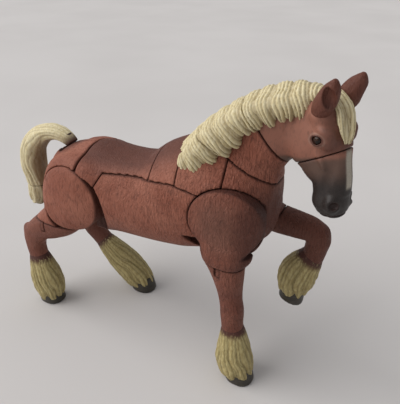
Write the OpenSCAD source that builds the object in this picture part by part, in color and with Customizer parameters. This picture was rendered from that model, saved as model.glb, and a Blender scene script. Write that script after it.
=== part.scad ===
// Take-apart draft horse figure, one foreleg raised.
// +X is the way the horse faces, +Y its left, +Z up, millimetres at real size.
// Body pieces are slices of one lofted trunk, so every seam closes on both sides.

/* [Placing] */
// Shift along the horse that centres the bounding box on the origin
shift_x = 4.2; // [-10:0.1:10]
// Sideways shift that centres the bounding box on the origin
shift_y = -0.7; // [-10:0.1:10]
// Height in the modelling frame at which the standing hooves are cut off level
ground_z = 1.6; // [0:0.1:3]

/* [Seams] */
// Gap at each seam that moves
run_gap = 0.3; // [0.2:0.05:0.6]
// Gap at each seam that is pushed shut
shut_gap = 0.02; // [0:0.01:0.1]
// Fore-and-aft place of the seam in front of the back piece
saddle_front_x = 11.7; // [10:0.1:14]
// Fore-and-aft place of the seam behind the back piece
saddle_rear_x = 1.5; // [-4:0.1:6]
// Fore-and-aft place of the seam between loin and croup
croup_x = -27.8; // [-32:0.1:-24]
// Fore-and-aft place of the seam between withers and breast
breast_x = 26.6; // [24:0.1:30]
// Height of the upper edge of the barrel halves at the saddle
barrel_top_z = 73.2; // [70:0.1:76]

/* [Shoulders] */
// Fore-and-aft place of the shoulder pivots
shoulder_x = 28.2; // [24:0.1:32]
// Height of the shoulder pivots
shoulder_z = 65.2; // [60:0.1:68]
// Radius of the shoulder discs
shoulder_r = 11.3; // [10:0.1:14]
// Height of the level seam between the right shoulder and its foreleg
elbow_z = 51; // [50:0.1:53]
// Half width of the chest between the shoulder discs
chest_half = 7.2; // [5:0.1:9]

/* [Hips] */
// Fore-and-aft place of the hip pivots
hip_x = -32; // [-36:0.1:-28]
// Height of the hip pivots
hip_z = 58.2; // [52:0.1:60]
// Radius of the thigh discs
hip_r = 12.1; // [10:0.1:14]
// Height of the seam between buttock and hind leg
buttock_z = 45.7; // [43:0.1:48]

/* [Pins] */
// Radius of the shoulder and hip pins
pin_r = 2.5; // [2:0.1:4]
// Radius of the pin heads
pin_head_r = 3.2; // [2.5:0.1:5]
// Radial running clearance of every pin
pin_play = 0.06; // [0.02:0.01:0.1]
// Radius of the neck and head pegs
peg_r = 3; // [2:0.1:4]

/* [Neck and head] */
// Reach of the neck peg above its seam
neck_reach = 4.6; // [3:0.1:7]
// Depth of the head peg below its seam
head_root = 3.4; // [3:0.1:6]
// Turn of the head to the horse's right, degrees
head_yaw = 22; // [0:1:40]
// Slope of the neck seam's normal above level, degrees
neck_tilt = 60.4; // [50:0.1:70]
// Slope of the head seam's normal above level, degrees
head_tilt = 37.8; // [30:0.1:50]

/* [Colours] */
// Chestnut coat
coat = [0.36, 0.19, 0.14];
// Flaxen mane and tail
flaxen = [0.80, 0.73, 0.50];
// Feathered lower legs
feather = [0.56, 0.50, 0.27];
// Hooves
horn = [0.07, 0.06, 0.07];
// Muzzle
smoke = [0.19, 0.15, 0.14];
// Inner pegs and core
inner = [0.30, 0.12, 0.09];

/* [Hidden] */
sides = 24;
big = 200;
$fn = 48;

// Seam planes: a point on each, in the plane y = 0.
neck_cut = [30.8, 0, 81.9];
head_cut = [34.0, 0, 93.9];
neck_axis_at = [28.4, 0, 83.3];
head_axis_at = [35.4, 0, 92.1];
tail_root = [-40.2, 0, 72.6];
tail_tilt = 130;
head_pivot = [42, 0, 96];

// ---- lofting: each station is [x, y, z, half width, half depth, path slope] ----

function bent(v, p) = sign(v) * pow(abs(v), p);

function ring(s, p) = [for (i = [0:sides - 1])
    let (a = 360 * i / sides, u = s[3] * bent(cos(a), p), v = s[4] * bent(sin(a), p))
    [s[0] - v * sin(s[5]), s[1] + u, s[2] + v * cos(s[5])]];

module loft(st, p = 0.9) {
    k = len(st);
    last = k * sides + 1;
    points = concat([for (s = st) each ring(s, p)],
                    [[st[0][0], st[0][1], st[0][2]], [st[k - 1][0], st[k - 1][1], st[k - 1][2]]]);
    skin = [for (j = [0:k - 2]) for (i = [0:sides - 1])
            let (a = j * sides + i, b = j * sides + (i + 1) % sides)
            each [[a, a + sides, b + sides], [a, b + sides, b]]];
    first_cap = [for (i = [0:sides - 1]) [last - 1, i, (i + 1) % sides]];
    last_cap = [for (i = [0:sides - 1]) [last, (k - 1) * sides + (i + 1) % sides, (k - 1) * sides + i]];
    polyhedron(points, concat(skin, first_cap, last_cap));
}

// Everything on the far side of a plane through "at" whose normal slopes "tilt" above +X.
module beyond(at, tilt, gap = 0)
    translate(at) rotate([0, -tilt, 0]) translate([gap, -big / 2, -big / 2]) cube(big);

module behind(at, tilt, gap = 0)
    translate(at) rotate([0, -tilt, 0]) translate([-big - gap, -big / 2, -big / 2]) cube(big);

module span_x(x0, x1) translate([x0, -big / 2, -big / 2]) cube([x1 - x0, big, big]);
module span_y(y0, y1) translate([-big / 2, y0, -big / 2]) cube([big, y1 - y0, big]);
module span_z(z0, z1) translate([-big / 2, -big / 2, z0]) cube([big, big, z1 - z0]);

// A cylinder across the horse on one side: side is -1 for right, 1 for left.
module cross_cyl(x, z, r, y0, y1, side)
    translate([x, side * (y0 + y1) / 2, z]) rotate([90, 0, 0]) cylinder(h = y1 - y0, r = r, center = true);

// ---- trunk ----

trunk_stations = [
    [-49.2, 0, 56.2, 2.6, 4.2, 0], [-47.4, 0, 56.6, 6.0, 8.8, 0], [-44.0, 0, 57.2, 9.6, 12.6, 0],
    [-38.0, 0, 58.2, 12.9, 15.2, 0], [-31.0, 0, 58.9, 14.2, 16.6, 0], [-24.0, 0, 59.4, 14.5, 17.2, 0],
    [-16.0, 0, 59.8, 14.9, 15.9, 0], [-8.0, 0, 60.3, 15.8, 15.5, 0], [0.0, 0, 61.4, 16.1, 16.1, 0],
    [6.0, 0, 63.3, 16.2, 17.8, 0], [12.0, 0, 65.8, 15.9, 18.8, 0], [18.0, 0, 67.6, 15.4, 19.4, 0],
    [24.0, 0, 67.9, 15.1, 19.1, 0], [30.0, 0, 67.3, 14.1, 17.9, 0], [33.5, 0, 67.0, 12.4, 16.4, 0],
    [36.5, 0, 66.8, 9.8, 13.8, 0], [38.8, 0, 66.5, 6.2, 9.6, 0], [40.0, 0, 66.4, 3.0, 5.0, 0]];

module trunk() loft(trunk_stations, 0.95);

// The muscled slabs outside the trunk, for the right side: shoulder, and thigh with buttock.
shoulder_stations = [
    [27.4, -9.2, 78.0, 3.2, 9.0, -90], [27.4, -10.6, 73.5, 5.0, 14.0, -90], [27.5, -11.6, 67.0, 5.4, 16.5, -90],
    [27.7, -12.0, 60.0, 5.4, 16.0, -90], [28.2, -12.2, 54.0, 5.1, 12.0, -90], [28.6, -12.3, 49.0, 4.8, 8.0, -90]];
haunch_stations = [
    [-33.4, -8.6, 72.5, 3.4, 10.6, -90], [-33.0, -10.0, 68.0, 4.8, 13.4, -90], [-32.6, -11.2, 60.0, 5.4, 14.6, -90],
    [-33.0, -11.8, 52.0, 5.4, 14.6, -90], [-35.4, -12.0, 46.0, 5.1, 13.0, -90], [-37.0, -12.0, 41.0, 4.4, 10.0, -90]];

module shoulder_slab(side) mirror([0, side < 0 ? 0 : 1, 0]) loft(shoulder_stations, 0.8);
module haunch_slab(side) mirror([0, side < 0 ? 0 : 1, 0]) loft(haunch_stations, 0.8);

// The upper seam of the barrel: it rises to the saddle, then falls to the shoulder.
module above_barrel() {
    translate([10, 0, barrel_top_z + 1]) rotate([0, -8.2, 0])
        translate([-big, -big / 2, 0]) cube([big + 4, big, big]);
    translate([10, 0, barrel_top_z + 1]) rotate([0, 6, 0])
        translate([-4, -big / 2, 0]) cube([big, big, big]);
}

module shoulder_room(side) {
    cross_cyl(shoulder_x, shoulder_z, shoulder_r + run_gap, chest_half, 30, side);
    // swing room for the head of the leg, under the disc
    intersection() {
        cross_cyl(shoulder_x, shoulder_z, shoulder_r + 4.4, chest_half, 30, side);
        span_z(30, 57.6);
    }
}

// The room round a thigh disc opens out at its lower front, where the thigh stands clear of the barrel.
module hip_room(side) {
    cross_cyl(hip_x, hip_z, hip_r + run_gap, chest_half, 30, side);
    cross_cyl(hip_x + 2, hip_z - 2.2, hip_r + 1.2, chest_half, 30, side);
}

// Room for the raised left forearm.
module forearm_room() intersection() {
    translate([27.5, 12.2, 56.4]) rotate([0, 90, 0]) cylinder(h = 40, r = 8.6);
    span_y(chest_half, 40);
}

// ---- core and pins ----

module core_body() {
    translate([-36, -6, 52]) cube([67, 12, 15.5]);
}

module core() color(inner) difference() {
    core_body();
    for (s = [-1, 1]) {
        cross_cyl(shoulder_x, shoulder_z, pin_r + shut_gap, 2, 9, s);
        cross_cyl(hip_x, hip_z, pin_r + shut_gap, 2, 9, s);
    }
}

// A headed pin: pushed into the core, running in the disc.
module headed_pin(x, z, side) color(inner) {
    cross_cyl(x, z, pin_r, 2.2, 12, side);
    cross_cyl(x, z, pin_head_r, 10.6, 12, side);
}

module pin_hole(x, z, side) {
    cross_cyl(x, z, pin_r + pin_play, 5, 11, side);
    cross_cyl(x, z, pin_head_r + 0.2, 10.4, 12.3, side);
}

module shoulder_pin_right() headed_pin(shoulder_x, shoulder_z, -1);
module shoulder_pin_left() headed_pin(shoulder_x, shoulder_z, 1);
module hip_pin_right() headed_pin(hip_x, hip_z, -1);
module hip_pin_left() headed_pin(hip_x, hip_z, 1);

// A peg across a tilted seam, headed at its far end.
module peg(at, tilt, down, up, r, head)
    translate(at) rotate([0, 90 - tilt, 0]) {
        translate([0, 0, -down]) cylinder(h = down + up, r = r);
        translate([0, 0, up - 1.6]) cylinder(h = 1.6, r = head);
    }

module peg_hole_low(at, tilt, down, r)
    translate(at) rotate([0, 90 - tilt, 0]) translate([0, 0, -down - 0.2]) cylinder(h = down + 2, r = r + shut_gap);

module peg_hole_high(at, tilt, up, r, head)
    translate(at) rotate([0, 90 - tilt, 0]) {
        translate([0, 0, -2]) cylinder(h = up + 1.8, r = r + pin_play);
        translate([0, 0, up - 1.8]) cylinder(h = 2.1, r = head + 0.2);
    }

module neck_peg() color(inner) peg(neck_axis_at, neck_tilt, 7, neck_reach, peg_r, peg_r + 0.7);
module head_peg() color(inner) peg(head_axis_at, head_tilt, head_root, 6, peg_r - 0.5, peg_r + 0.2);
module tail_peg() color(inner) peg(tail_root, tail_tilt, 5, 3.6, 1.4, 1.9);

// ---- torso pieces ----

module below_neck() behind(neck_cut, neck_tilt, run_gap / 2);

// What every torso piece leaves free: the core and the roots of the pins.
module core_space() {
    core_body();
    for (s = [-1, 1]) {
        cross_cyl(shoulder_x, shoulder_z, pin_r + shut_gap, 2, 9, s);
        cross_cyl(hip_x, hip_z, pin_r + shut_gap, 2, 9, s);
    }
}

module barrel(side) color(coat) difference() {
    intersection() {
        trunk();
        span_x(croup_x, 26.6);
        if (side < 0) span_y(-30, 0); else span_y(0, 30);
    }
    above_barrel();
    shoulder_room(side);
    hip_room(side);
    core_space();
}

module barrel_right() barrel(-1);
module barrel_left() barrel(1);

module top_piece(x0, x1) color(coat) difference() {
    intersection() { trunk(); above_barrel(); span_x(x0, x1); }
    for (s = [-1, 1]) { shoulder_room(s); hip_room(s); }
}

module saddle_back() color(coat) difference() { top_piece(saddle_rear_x, saddle_front_x); mane_roll(); }
module loin() top_piece(croup_x, saddle_rear_x);

module withers() color(coat) difference() {
    intersection() { trunk(); above_barrel(); span_x(saddle_front_x, breast_x); below_neck(); }
    for (s = [-1, 1]) shoulder_room(s);
    mane_roll();
    peg_hole_low(neck_axis_at, neck_tilt, 7, peg_r);
}

module breast() color(coat) difference() {
    intersection() { trunk(); span_x(breast_x, 60); below_neck(); }
    for (s = [-1, 1]) shoulder_room(s);
    forearm_room();
    core_space();
    peg_hole_low(neck_axis_at, neck_tilt, 7, peg_r);
}

module croup(side) color(coat) difference() {
    intersection() {
        union() { trunk(); haunch_slab(side); }
        span_x(-60, croup_x);
        span_z(buttock_z, 100);
        if (side < 0) span_y(-30, 0); else span_y(0, 30);
    }
    hip_room(side);
    core_space();
    peg_hole_low(tail_root, tail_tilt, 5, 1.4);
    tail_seat();
}

module croup_right() croup(-1);
module croup_left() croup(1);

// ---- neck and mane ----

neck_stations = [
    [24.0, 0, 76.8, 10.4, 14.4, 62], [28.0, 0, 83.4, 8.9, 13.2, 59], [30.9, 0, 87.9, 7.7, 11.6, 50],
    [34.8, 0, 92.0, 6.9, 10.3, 38], [39.8, 0, 95.4, 6.6, 9.6, 26]];

mane_stations = [
    [9.6, -3.0, 79.6, 3.0, 2.6, 42], [12.6, -4.0, 82.2, 6.0, 4.6, 50], [17.2, -3.4, 86.4, 7.0, 6.0, 48],
    [22.4, -2.8, 91.4, 6.6, 6.4, 44], [27.6, -2.4, 95.2, 6.0, 6.2, 38], [33.4, -2.2, 98.4, 5.6, 6.2, 26],
    [39.4, -2.4, 100.8, 5.2, 5.8, 14], [44.6, -3.2, 102.2, 4.6, 4.4, 4], [49.2, -4.2, 103.4, 2.4, 2.4, 0]];

// The part of the mane that hangs down the right side of the neck.
fall_stations = [
    [11.5, -8.6, 79.2, 1.6, 1.8, 45], [14.4, -9.4, 81.6, 3.0, 3.4, 45], [18.2, -9.2, 85.2, 3.2, 4.4, 45],
    [22.4, -8.8, 88.8, 3.1, 5.0, 42], [26.0, -8.2, 92.4, 2.8, 4.6, 40], [30.0, -7.6, 95.8, 2.6, 4.2, 34],
    [34.6, -7.2, 98.6, 2.4, 3.9, 26], [39.4, -6.8, 100.6, 2.3, 3.5, 14], [44.2, -6.6, 101.8, 2.0, 3.0, 6],
    [47.4, -6.4, 102.2, 1.0, 1.4, 0]];

module mane_roll() {
    loft(mane_stations, 0.9);
    loft(fall_stations, 0.9);
}

module neck() color(coat) difference() {
    intersection() {
        loft(neck_stations);
        beyond(neck_cut, neck_tilt, run_gap / 2);
        behind(head_cut, head_tilt, run_gap / 2);
    }
    mane_roll();
    peg_hole_high(neck_axis_at, neck_tilt, neck_reach, peg_r, peg_r + 0.7);
    peg_hole_low(head_axis_at, head_tilt, head_root, peg_r - 0.5);
}

module mane_neck() color(flaxen) difference() {
    intersection() {
        mane_roll();
        beyond(neck_cut, neck_tilt, run_gap / 2);
        behind(head_cut, head_tilt, run_gap / 2);
    }
    peg_hole_high(neck_axis_at, neck_tilt, neck_reach, peg_r, peg_r + 0.7);
    peg_hole_low(head_axis_at, head_tilt, head_root, peg_r - 0.5);
}

module mane_withers() color(flaxen) intersection() { mane_roll(); below_neck(); }

// ---- head ----

module head_turned() translate(head_pivot) rotate([0, 0, -head_yaw]) translate(-head_pivot) children();

poll_stations = [
    [30.0, 0, 88.6, 7.0, 11.2, 40], [35.4, 0, 92.2, 6.7, 10.7, 36], [41.0, 0, 95.8, 6.5, 9.8, 24],
    [47.0, -1.5, 97.6, 5.8, 8.4, 8], [51.5, -3.0, 98.2, 4.0, 5.6, 0]];

skull_stations = [
    [51.0, 0, 105.4, 2.8, 3.2, -72], [51.8, 0, 102.2, 5.2, 5.0, -72], [51.4, 0, 97.4, 6.3, 7.0, -72],
    [51.4, 0, 92.4, 6.2, 8.0, -72], [52.8, 0, 87.9, 5.6, 7.3, -72], [55.8, 0, 83.5, 4.7, 5.4, -73],
    [57.0, 0, 79.6, 4.4, 4.9, -74], [57.8, 0, 76.4, 4.8, 4.6, -75], [58.2, 0, 73.4, 3.2, 2.9, -76]];

muzzle_cut = [54.3, 0, 89.9];
muzzle_tilt = -60;
eye_at = [54.0, 5.2, 94.9];

module skull() {
    loft(poll_stations);
    head_turned() loft(skull_stations);
}

module head() color(coat) difference() {
    intersection() { skull(); beyond(head_cut, head_tilt, run_gap / 2); }
    mane_roll();
    head_turned() {
        beyond(muzzle_cut, muzzle_tilt);
        for (s = [-1, 1]) cross_cyl(eye_at[0], eye_at[2], 1.5, eye_at[1] - 1.5, eye_at[1] + 4, s);
        translate(muzzle_cut) rotate([0, 90 - muzzle_tilt, 0]) translate([0, 0, -4]) cylinder(h = 6, r = 2 + shut_gap);
        forelock_body();
    }
    peg_hole_high(head_axis_at, head_tilt, 6, peg_r - 0.5, peg_r + 0.2);
}

module muzzle() color(smoke) head_turned() {
    intersection() { loft(skull_stations); beyond(muzzle_cut, muzzle_tilt); }
    translate(muzzle_cut) rotate([0, 90 - muzzle_tilt, 0]) translate([0, 0, -3.8]) cylinder(h = 6, r = 2);
}

module eye(s) color(horn) head_turned() translate([eye_at[0], s * eye_at[1], eye_at[2]]) sphere(r = 1.48);
module eye_right() eye(-1);
module eye_left() eye(1);

module ear(s) color(coat) head_turned() translate([53.0, s * 4.9, 100.8]) rotate([-s * 8, 0, 0])
    difference() {
        loft([[-0.6, 0, -1.0, 1.7, 1.8, 72], [0.4, 0, 1.8, 2.6, 2.4, 72], [1.4, 0, 4.8, 3.0, 2.5, 74],
              [2.2, 0, 7.4, 2.2, 1.8, 76], [2.7, 0, 9.2, 0.9, 0.7, 78], [2.8, 0, 9.7, 0.3, 0.3, 78]]);
        hull() {
            translate([2.6, 0, 2.6]) sphere(r = 1.3, $fn = 16);
            translate([3.6, 0, 6.6]) sphere(r = 0.9, $fn = 16);
        }
    }

module ear_right() color(coat) difference() { ear(-1); skull(); mane_roll(); head_turned() forelock_body(); }
module ear_left() color(coat) difference() { ear(1); skull(); mane_roll(); head_turned() forelock_body(); }

module forelock_body() loft([
    [49.4, 0, 105.6, 1.6, 1.0, 20], [52.6, 0, 105.6, 2.2, 1.5, -16], [56.0, 0, 102.6, 2.9, 1.9, -56],
    [57.8, 0, 98.8, 3.1, 1.8, -70], [58.9, 0, 95.6, 2.0, 1.2, -78], [59.2, 0, 93.9, 0.5, 0.5, -80]]);

module forelock() color(flaxen) difference() { head_turned() forelock_body(); mane_roll(); }
module mane_poll() color(flaxen) difference() {
    intersection() { mane_roll(); beyond(head_cut, head_tilt, run_gap / 2); }
    peg_hole_high(head_axis_at, head_tilt, 6, peg_r - 0.5, peg_r + 0.2);
}

// ---- forelegs ----

module shoulder(side) color(coat) difference() {
    intersection() {
        shoulder_slab(side);
        cross_cyl(shoulder_x, shoulder_z, shoulder_r, chest_half + run_gap, 30, side);
    }
    pin_hole(shoulder_x, shoulder_z, side);
}

// The right shoulder reaches below its disc, down to the level seam at the elbow.
module shoulder_right() color(coat) {
    shoulder(-1);
    difference() {
        loft(fore_down);
        span_z(-10, elbow_z);
        pin_hole(shoulder_x, shoulder_z, -1);
    }
}
module shoulder_left() shoulder(1);

fore_down = [
    [28.2, -12.2, 57.4, 4.9, 7.2, -90], [28.3, -12.3, 54.6, 4.9, 7.6, -90], [28.5, -12.3, 52.0, 4.8, 7.4, -90],
    [28.9, -12.3, 49.8, 4.6, 6.2, -90], [29.6, -12.3, 46.0, 4.3, 5.2, -90], [30.4, -12.2, 40.0, 3.7, 4.1, -90],
    [31.0, -12.2, 35.0, 3.5, 3.7, -90], [31.5, -12.1, 30.0, 3.5, 3.8, -90], [31.8, -12.0, 25.4, 3.3, 3.8, -90],
    [32.3, -11.9, 21.0, 4.2, 4.6, -90], [32.6, -11.8, 15.0, 5.2, 5.9, -90], [32.9, -11.7, 10.0, 5.7, 6.5, -90],
    [33.8, -11.6, 6.4, 5.5, 6.2, -90], [34.8, -11.6, 3.6, 4.7, 5.2, -90], [35.2, -11.6, 1.6, 4.6, 5.0, -90]];

fore_up = [
    [31.0, 12.2, 57.6, 4.3, 6.2, -10], [37.0, 12.2, 56.0, 4.3, 5.4, -10], [43.5, 12.2, 55.2, 3.9, 4.6, -10],
    [48.6, 12.2, 54.8, 3.7, 4.4, -26], [50.8, 12.2, 52.2, 3.6, 4.2, -64], [50.6, 12.2, 48.2, 3.4, 3.9, -100],
    [49.6, 12.2, 44.4, 3.8, 4.5, -108], [47.6, 12.2, 40.4, 4.9, 5.9, -114], [45.8, 12.2, 36.4, 5.6, 6.7, -112],
    [44.9, 12.2, 32.0, 5.5, 6.2, -106], [44.7, 12.2, 28.0, 4.6, 5.0, -104], [44.2, 12.2, 24.4, 4.2, 4.4, -104]];

module foreleg_right() color(coat) difference() {
    loft(fore_down);
    span_z(elbow_z - shut_gap, 80);
    span_z(-10, 24);
}
module feather_fore_right() color(feather) intersection() { loft(fore_down); span_z(5.2, 24); }
module hoof_fore_right() color(horn) intersection() { loft(fore_down); span_z(ground_z, 5.2); }

module foreleg_left() color(coat) difference() {
    loft(fore_up);
    cross_cyl(shoulder_x, shoulder_z, shoulder_r, 0, 40, 1);
    beyond([49.8, 0, 45.2], -106);
}
module feather_fore_left() color(feather) intersection() {
    loft(fore_up);
    beyond([49.8, 0, 45.2], -106);
    behind([44.8, 0, 28.0], -108);
}
module hoof_fore_left() color(horn) intersection() { loft(fore_up); beyond([44.8, 0, 28.0], -108); }

// ---- hind legs ----

module thigh(side) color(coat) difference() {
    intersection() {
        haunch_slab(side);
        cross_cyl(hip_x, hip_z, hip_r, chest_half + run_gap, 30, side);
    }
    pin_hole(hip_x, hip_z, side);
}

module thigh_right() thigh(-1);
module thigh_left() thigh(1);

hind_right = [
    [-36.0, -12.0, 50.0, 5.0, 6.5, -150], [-40.4, -12.0, 46.2, 5.0, 7.0, -150], [-46.2, -12.0, 42.4, 4.5, 6.4, -150],
    [-52.0, -12.0, 38.8, 4.0, 5.2, -146], [-56.0, -12.0, 34.4, 3.8, 5.0, -118], [-56.8, -12.0, 29.4, 3.4, 4.3, -88],
    [-56.4, -12.0, 24.4, 3.4, 4.4, -82], [-55.3, -12.0, 18.6, 4.6, 6.2, -84], [-54.7, -11.9, 13.4, 5.4, 7.5, -88],
    [-54.6, -11.8, 8.8, 5.7, 7.9, -90], [-54.2, -11.7, 5.2, 5.2, 6.4, -90], [-53.8, -11.6, 1.6, 4.7, 5.3, -90]];

hind_left = [
    [-36.0, 12.0, 50.0, 5.0, 6.6, -150], [-41.0, 12.0, 44.2, 4.9, 7.4, -140], [-45.4, 12.0, 38.2, 4.4, 6.2, -130],
    [-48.2, 12.0, 31.8, 3.9, 5.2, -100], [-46.2, 12.0, 26.8, 3.5, 4.6, -58], [-42.0, 12.0, 22.4, 3.5, 4.8, -50],
    [-35.4, 12.2, 17.0, 4.8, 6.4, -44], [-29.4, 12.6, 11.6, 5.6, 7.2, -50], [-25.2, 12.8, 7.6, 5.6, 6.6, -64],
    [-23.4, 13.0, 4.8, 5.1, 5.8, -86], [-22.4, 13.0, 1.6, 4.7, 5.3, -90]];

module hind_part(st, side) difference() {
    loft(st);
    cross_cyl(hip_x, hip_z, hip_r, 0, 40, side);
    span_z(buttock_z - run_gap, 80);
}

module hindleg_right() color(coat) difference() { hind_part(hind_right, -1); span_z(-10, 24.4); }
module feather_hind_right() color(feather) intersection() { loft(hind_right); span_z(5.2, 24.4); }
module hoof_hind_right() color(horn) intersection() { loft(hind_right); span_z(ground_z, 5.2); }

hock_cut = [-41.6, 0, 21.2];
module hindleg_left() color(coat) difference() {
    hind_part(hind_left, 1);
    beyond(hock_cut, -48);
}
module feather_hind_left() color(feather) intersection() {
    loft(hind_left);
    beyond(hock_cut, -48);
    span_z(5.2, 60);
}
module hoof_hind_left() color(horn) intersection() { loft(hind_left); span_z(ground_z, 5.2); }

// ---- tail ----

tail_stations = [
    [-40.2, 0, 72.6, 2.2, 2.2, 130], [-42.2, 0, 74.4, 2.6, 2.4, 138], [-46.4, 0, 75.6, 3.6, 2.8, 170],
    [-51.6, 0, 75.0, 4.4, 3.4, 194], [-57.4, 0, 71.8, 5.0, 4.2, 222], [-61.4, 0, 66.4, 5.4, 4.7, 246],
    [-62.8, 0, 60.0, 5.4, 4.8, 264], [-62.4, 0, 54.6, 4.9, 4.6, 274], [-61.9, 0, 51.4, 4.5, 4.4, 276]];

tuft_stations = [
    [-61.9, 0, 51.4, 4.5, 4.4, 276], [-62.6, 0, 47.6, 4.3, 4.9, 262], [-64.6, 0, 44.4, 3.5, 4.8, 240],
    [-67.2, 0, 42.0, 1.8, 2.8, 225], [-69.0, 0, 40.8, 0.6, 1.0, 220]];

// A flat round seat for the root of the tail.
module tail_seat()
    translate(tail_root) rotate([0, 90 - tail_tilt, 0]) translate([0, 0, -run_gap / 2]) cylinder(h = 12, r = 5.5);

module tail_upper() color(flaxen) difference() {
    intersection() { loft(tail_stations); tail_side(); }
    peg_hole_high(tail_root, tail_tilt, 3.6, 1.4, 1.9);
}

module tail_side() difference() {
    translate([-100, -20, 30]) cube([70, 40, 60]);
    translate(tail_root) rotate([0, -tail_tilt, 0]) translate([-20 + run_gap / 2, -30, -14]) cube([20, 60, 16]);
}

module tail_tuft() color(flaxen) loft(tuft_stations);

// ---- the parts ----

module placed() translate([shift_x, shift_y, -ground_z]) children();

placed() barrel_right();
placed() barrel_left();
placed() saddle_back();
placed() loin();
placed() withers();
placed() breast();
placed() croup_right();
placed() croup_left();
placed() core();
placed() shoulder_pin_right();
placed() shoulder_pin_left();
placed() hip_pin_right();
placed() hip_pin_left();
placed() neck_peg();
placed() tail_peg();
placed() mane_withers();
placed() neck();
placed() mane_neck();
placed() head_peg();
placed() head();
placed() muzzle();
placed() ear_right();
placed() ear_left();
placed() forelock();
placed() mane_poll();
placed() eye_right();
placed() eye_left();
placed() shoulder_right();
placed() foreleg_right();
placed() feather_fore_right();
placed() hoof_fore_right();
placed() shoulder_left();
placed() foreleg_left();
placed() feather_fore_left();
placed() hoof_fore_left();
placed() thigh_right();
placed() hindleg_right();
placed() feather_hind_right();
placed() hoof_hind_right();
placed() thigh_left();
placed() hindleg_left();
placed() feather_hind_left();
placed() hoof_hind_left();
placed() tail_upper();
placed() tail_tuft();
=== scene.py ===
"""Looks of the take-apart draft horse: sculpted distance-field skins cut by the frame's own seams.

Lengths in the sculpting code are millimetres in the CAD source's own coordinates, which are those of
the shared frame before its centring shift. make() turns each piece into metres in the shared frame.
"""

import bpy
import numpy as np
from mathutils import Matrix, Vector


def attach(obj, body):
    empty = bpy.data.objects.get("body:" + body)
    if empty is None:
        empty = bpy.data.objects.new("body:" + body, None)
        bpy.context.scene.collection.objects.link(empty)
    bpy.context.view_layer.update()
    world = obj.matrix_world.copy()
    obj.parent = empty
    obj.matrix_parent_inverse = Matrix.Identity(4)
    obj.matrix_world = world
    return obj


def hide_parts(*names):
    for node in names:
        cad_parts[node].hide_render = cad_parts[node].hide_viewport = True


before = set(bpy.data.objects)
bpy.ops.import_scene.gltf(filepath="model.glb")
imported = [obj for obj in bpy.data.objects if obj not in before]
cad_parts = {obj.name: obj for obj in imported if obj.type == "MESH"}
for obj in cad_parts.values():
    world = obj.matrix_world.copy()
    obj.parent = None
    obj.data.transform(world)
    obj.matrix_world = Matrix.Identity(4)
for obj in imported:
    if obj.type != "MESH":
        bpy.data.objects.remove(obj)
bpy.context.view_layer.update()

MM = 0.001
SHIFT = np.array([4.2, -0.7, -1.6])  # the CAD's centring shift, and its ground down to zero
BODY_STEP = 0.46  # grid pitch of the plain coat pieces
FINE_STEP = 0.30  # grid pitch of the head, tail and feathers
MANE_STEP = 0.25  # grid pitch of the mane and forelock

# seams and pivots, as in the CAD
SADDLE_FRONT, SADDLE_REAR = 11.7, 1.5
CROUP_X, BREAST_X = -27.8, 26.6
SHOULDER, SHOULDER_R = (28.2, 65.2), 11.3
HIP, HIP_R = (-32.0, 58.2), 12.1
CHEST_HALF = 7.2
BUTTOCK_Z = 45.7
ELBOW_Z = 51.0
TUFT_Z = 51.4
GROUND_Z = 1.6
RUN_GAP = 0.3  # between pieces that move on each other
ARM_TOP, ARM_IN = 57.6, 9.4  # the upper arm's room: its top, and how near the middle it comes
NECK_CUT, NECK_TILT = (30.8, 0.0, 81.9), 60.4
HEAD_CUT, HEAD_TILT = (34.0, 0.0, 93.9), 37.8
MUZZLE_CUT, MUZZLE_TILT = (54.3, 0.0, 89.9), -60.0
TAIL_ROOT, TAIL_TILT = (-40.2, 0.0, 72.6), 130.0
HEAD_PIVOT, HEAD_YAW = np.array([42.0, 0.0, 96.0]), np.radians(22.0)
EYE, EYE_R, LID_R = (54.0, 5.2, 94.9), 1.53, 1.98  # centre and radius of an eye, radius of its lids


# distance fields
def smin(a, b, k):
    """The lower of two fields, with k for the width of the blend; the order of many blends counts."""
    h = np.clip(0.5 + 0.5 * (b - a) / k, 0.0, 1.0)
    return b * (1 - h) + a * h - k * h * (1 - h)


def smax(a, b, k):
    return -smin(-a, -b, k)


def step_up(x, lo, hi):
    t = np.clip((x - lo) / (hi - lo), 0.0, 1.0)
    return t * t * (3 - 2 * t)


def spline(rows, per=8):
    """Rows joined by a smooth curve."""
    r = np.array(rows, float)
    m = np.gradient(r, axis=0)
    u = np.linspace(0, len(r) - 1, (len(r) - 1) * per + 1)
    i = np.minimum(u.astype(int), len(r) - 2)
    t = (u - i)[:, None]
    return ((2 * t**3 - 3 * t**2 + 1) * r[i] + (t**3 - 2 * t**2 + t) * m[i]
            + (3 * t**2 - 2 * t**3) * r[i + 1] + (t**3 - t**2) * m[i + 1])


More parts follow.
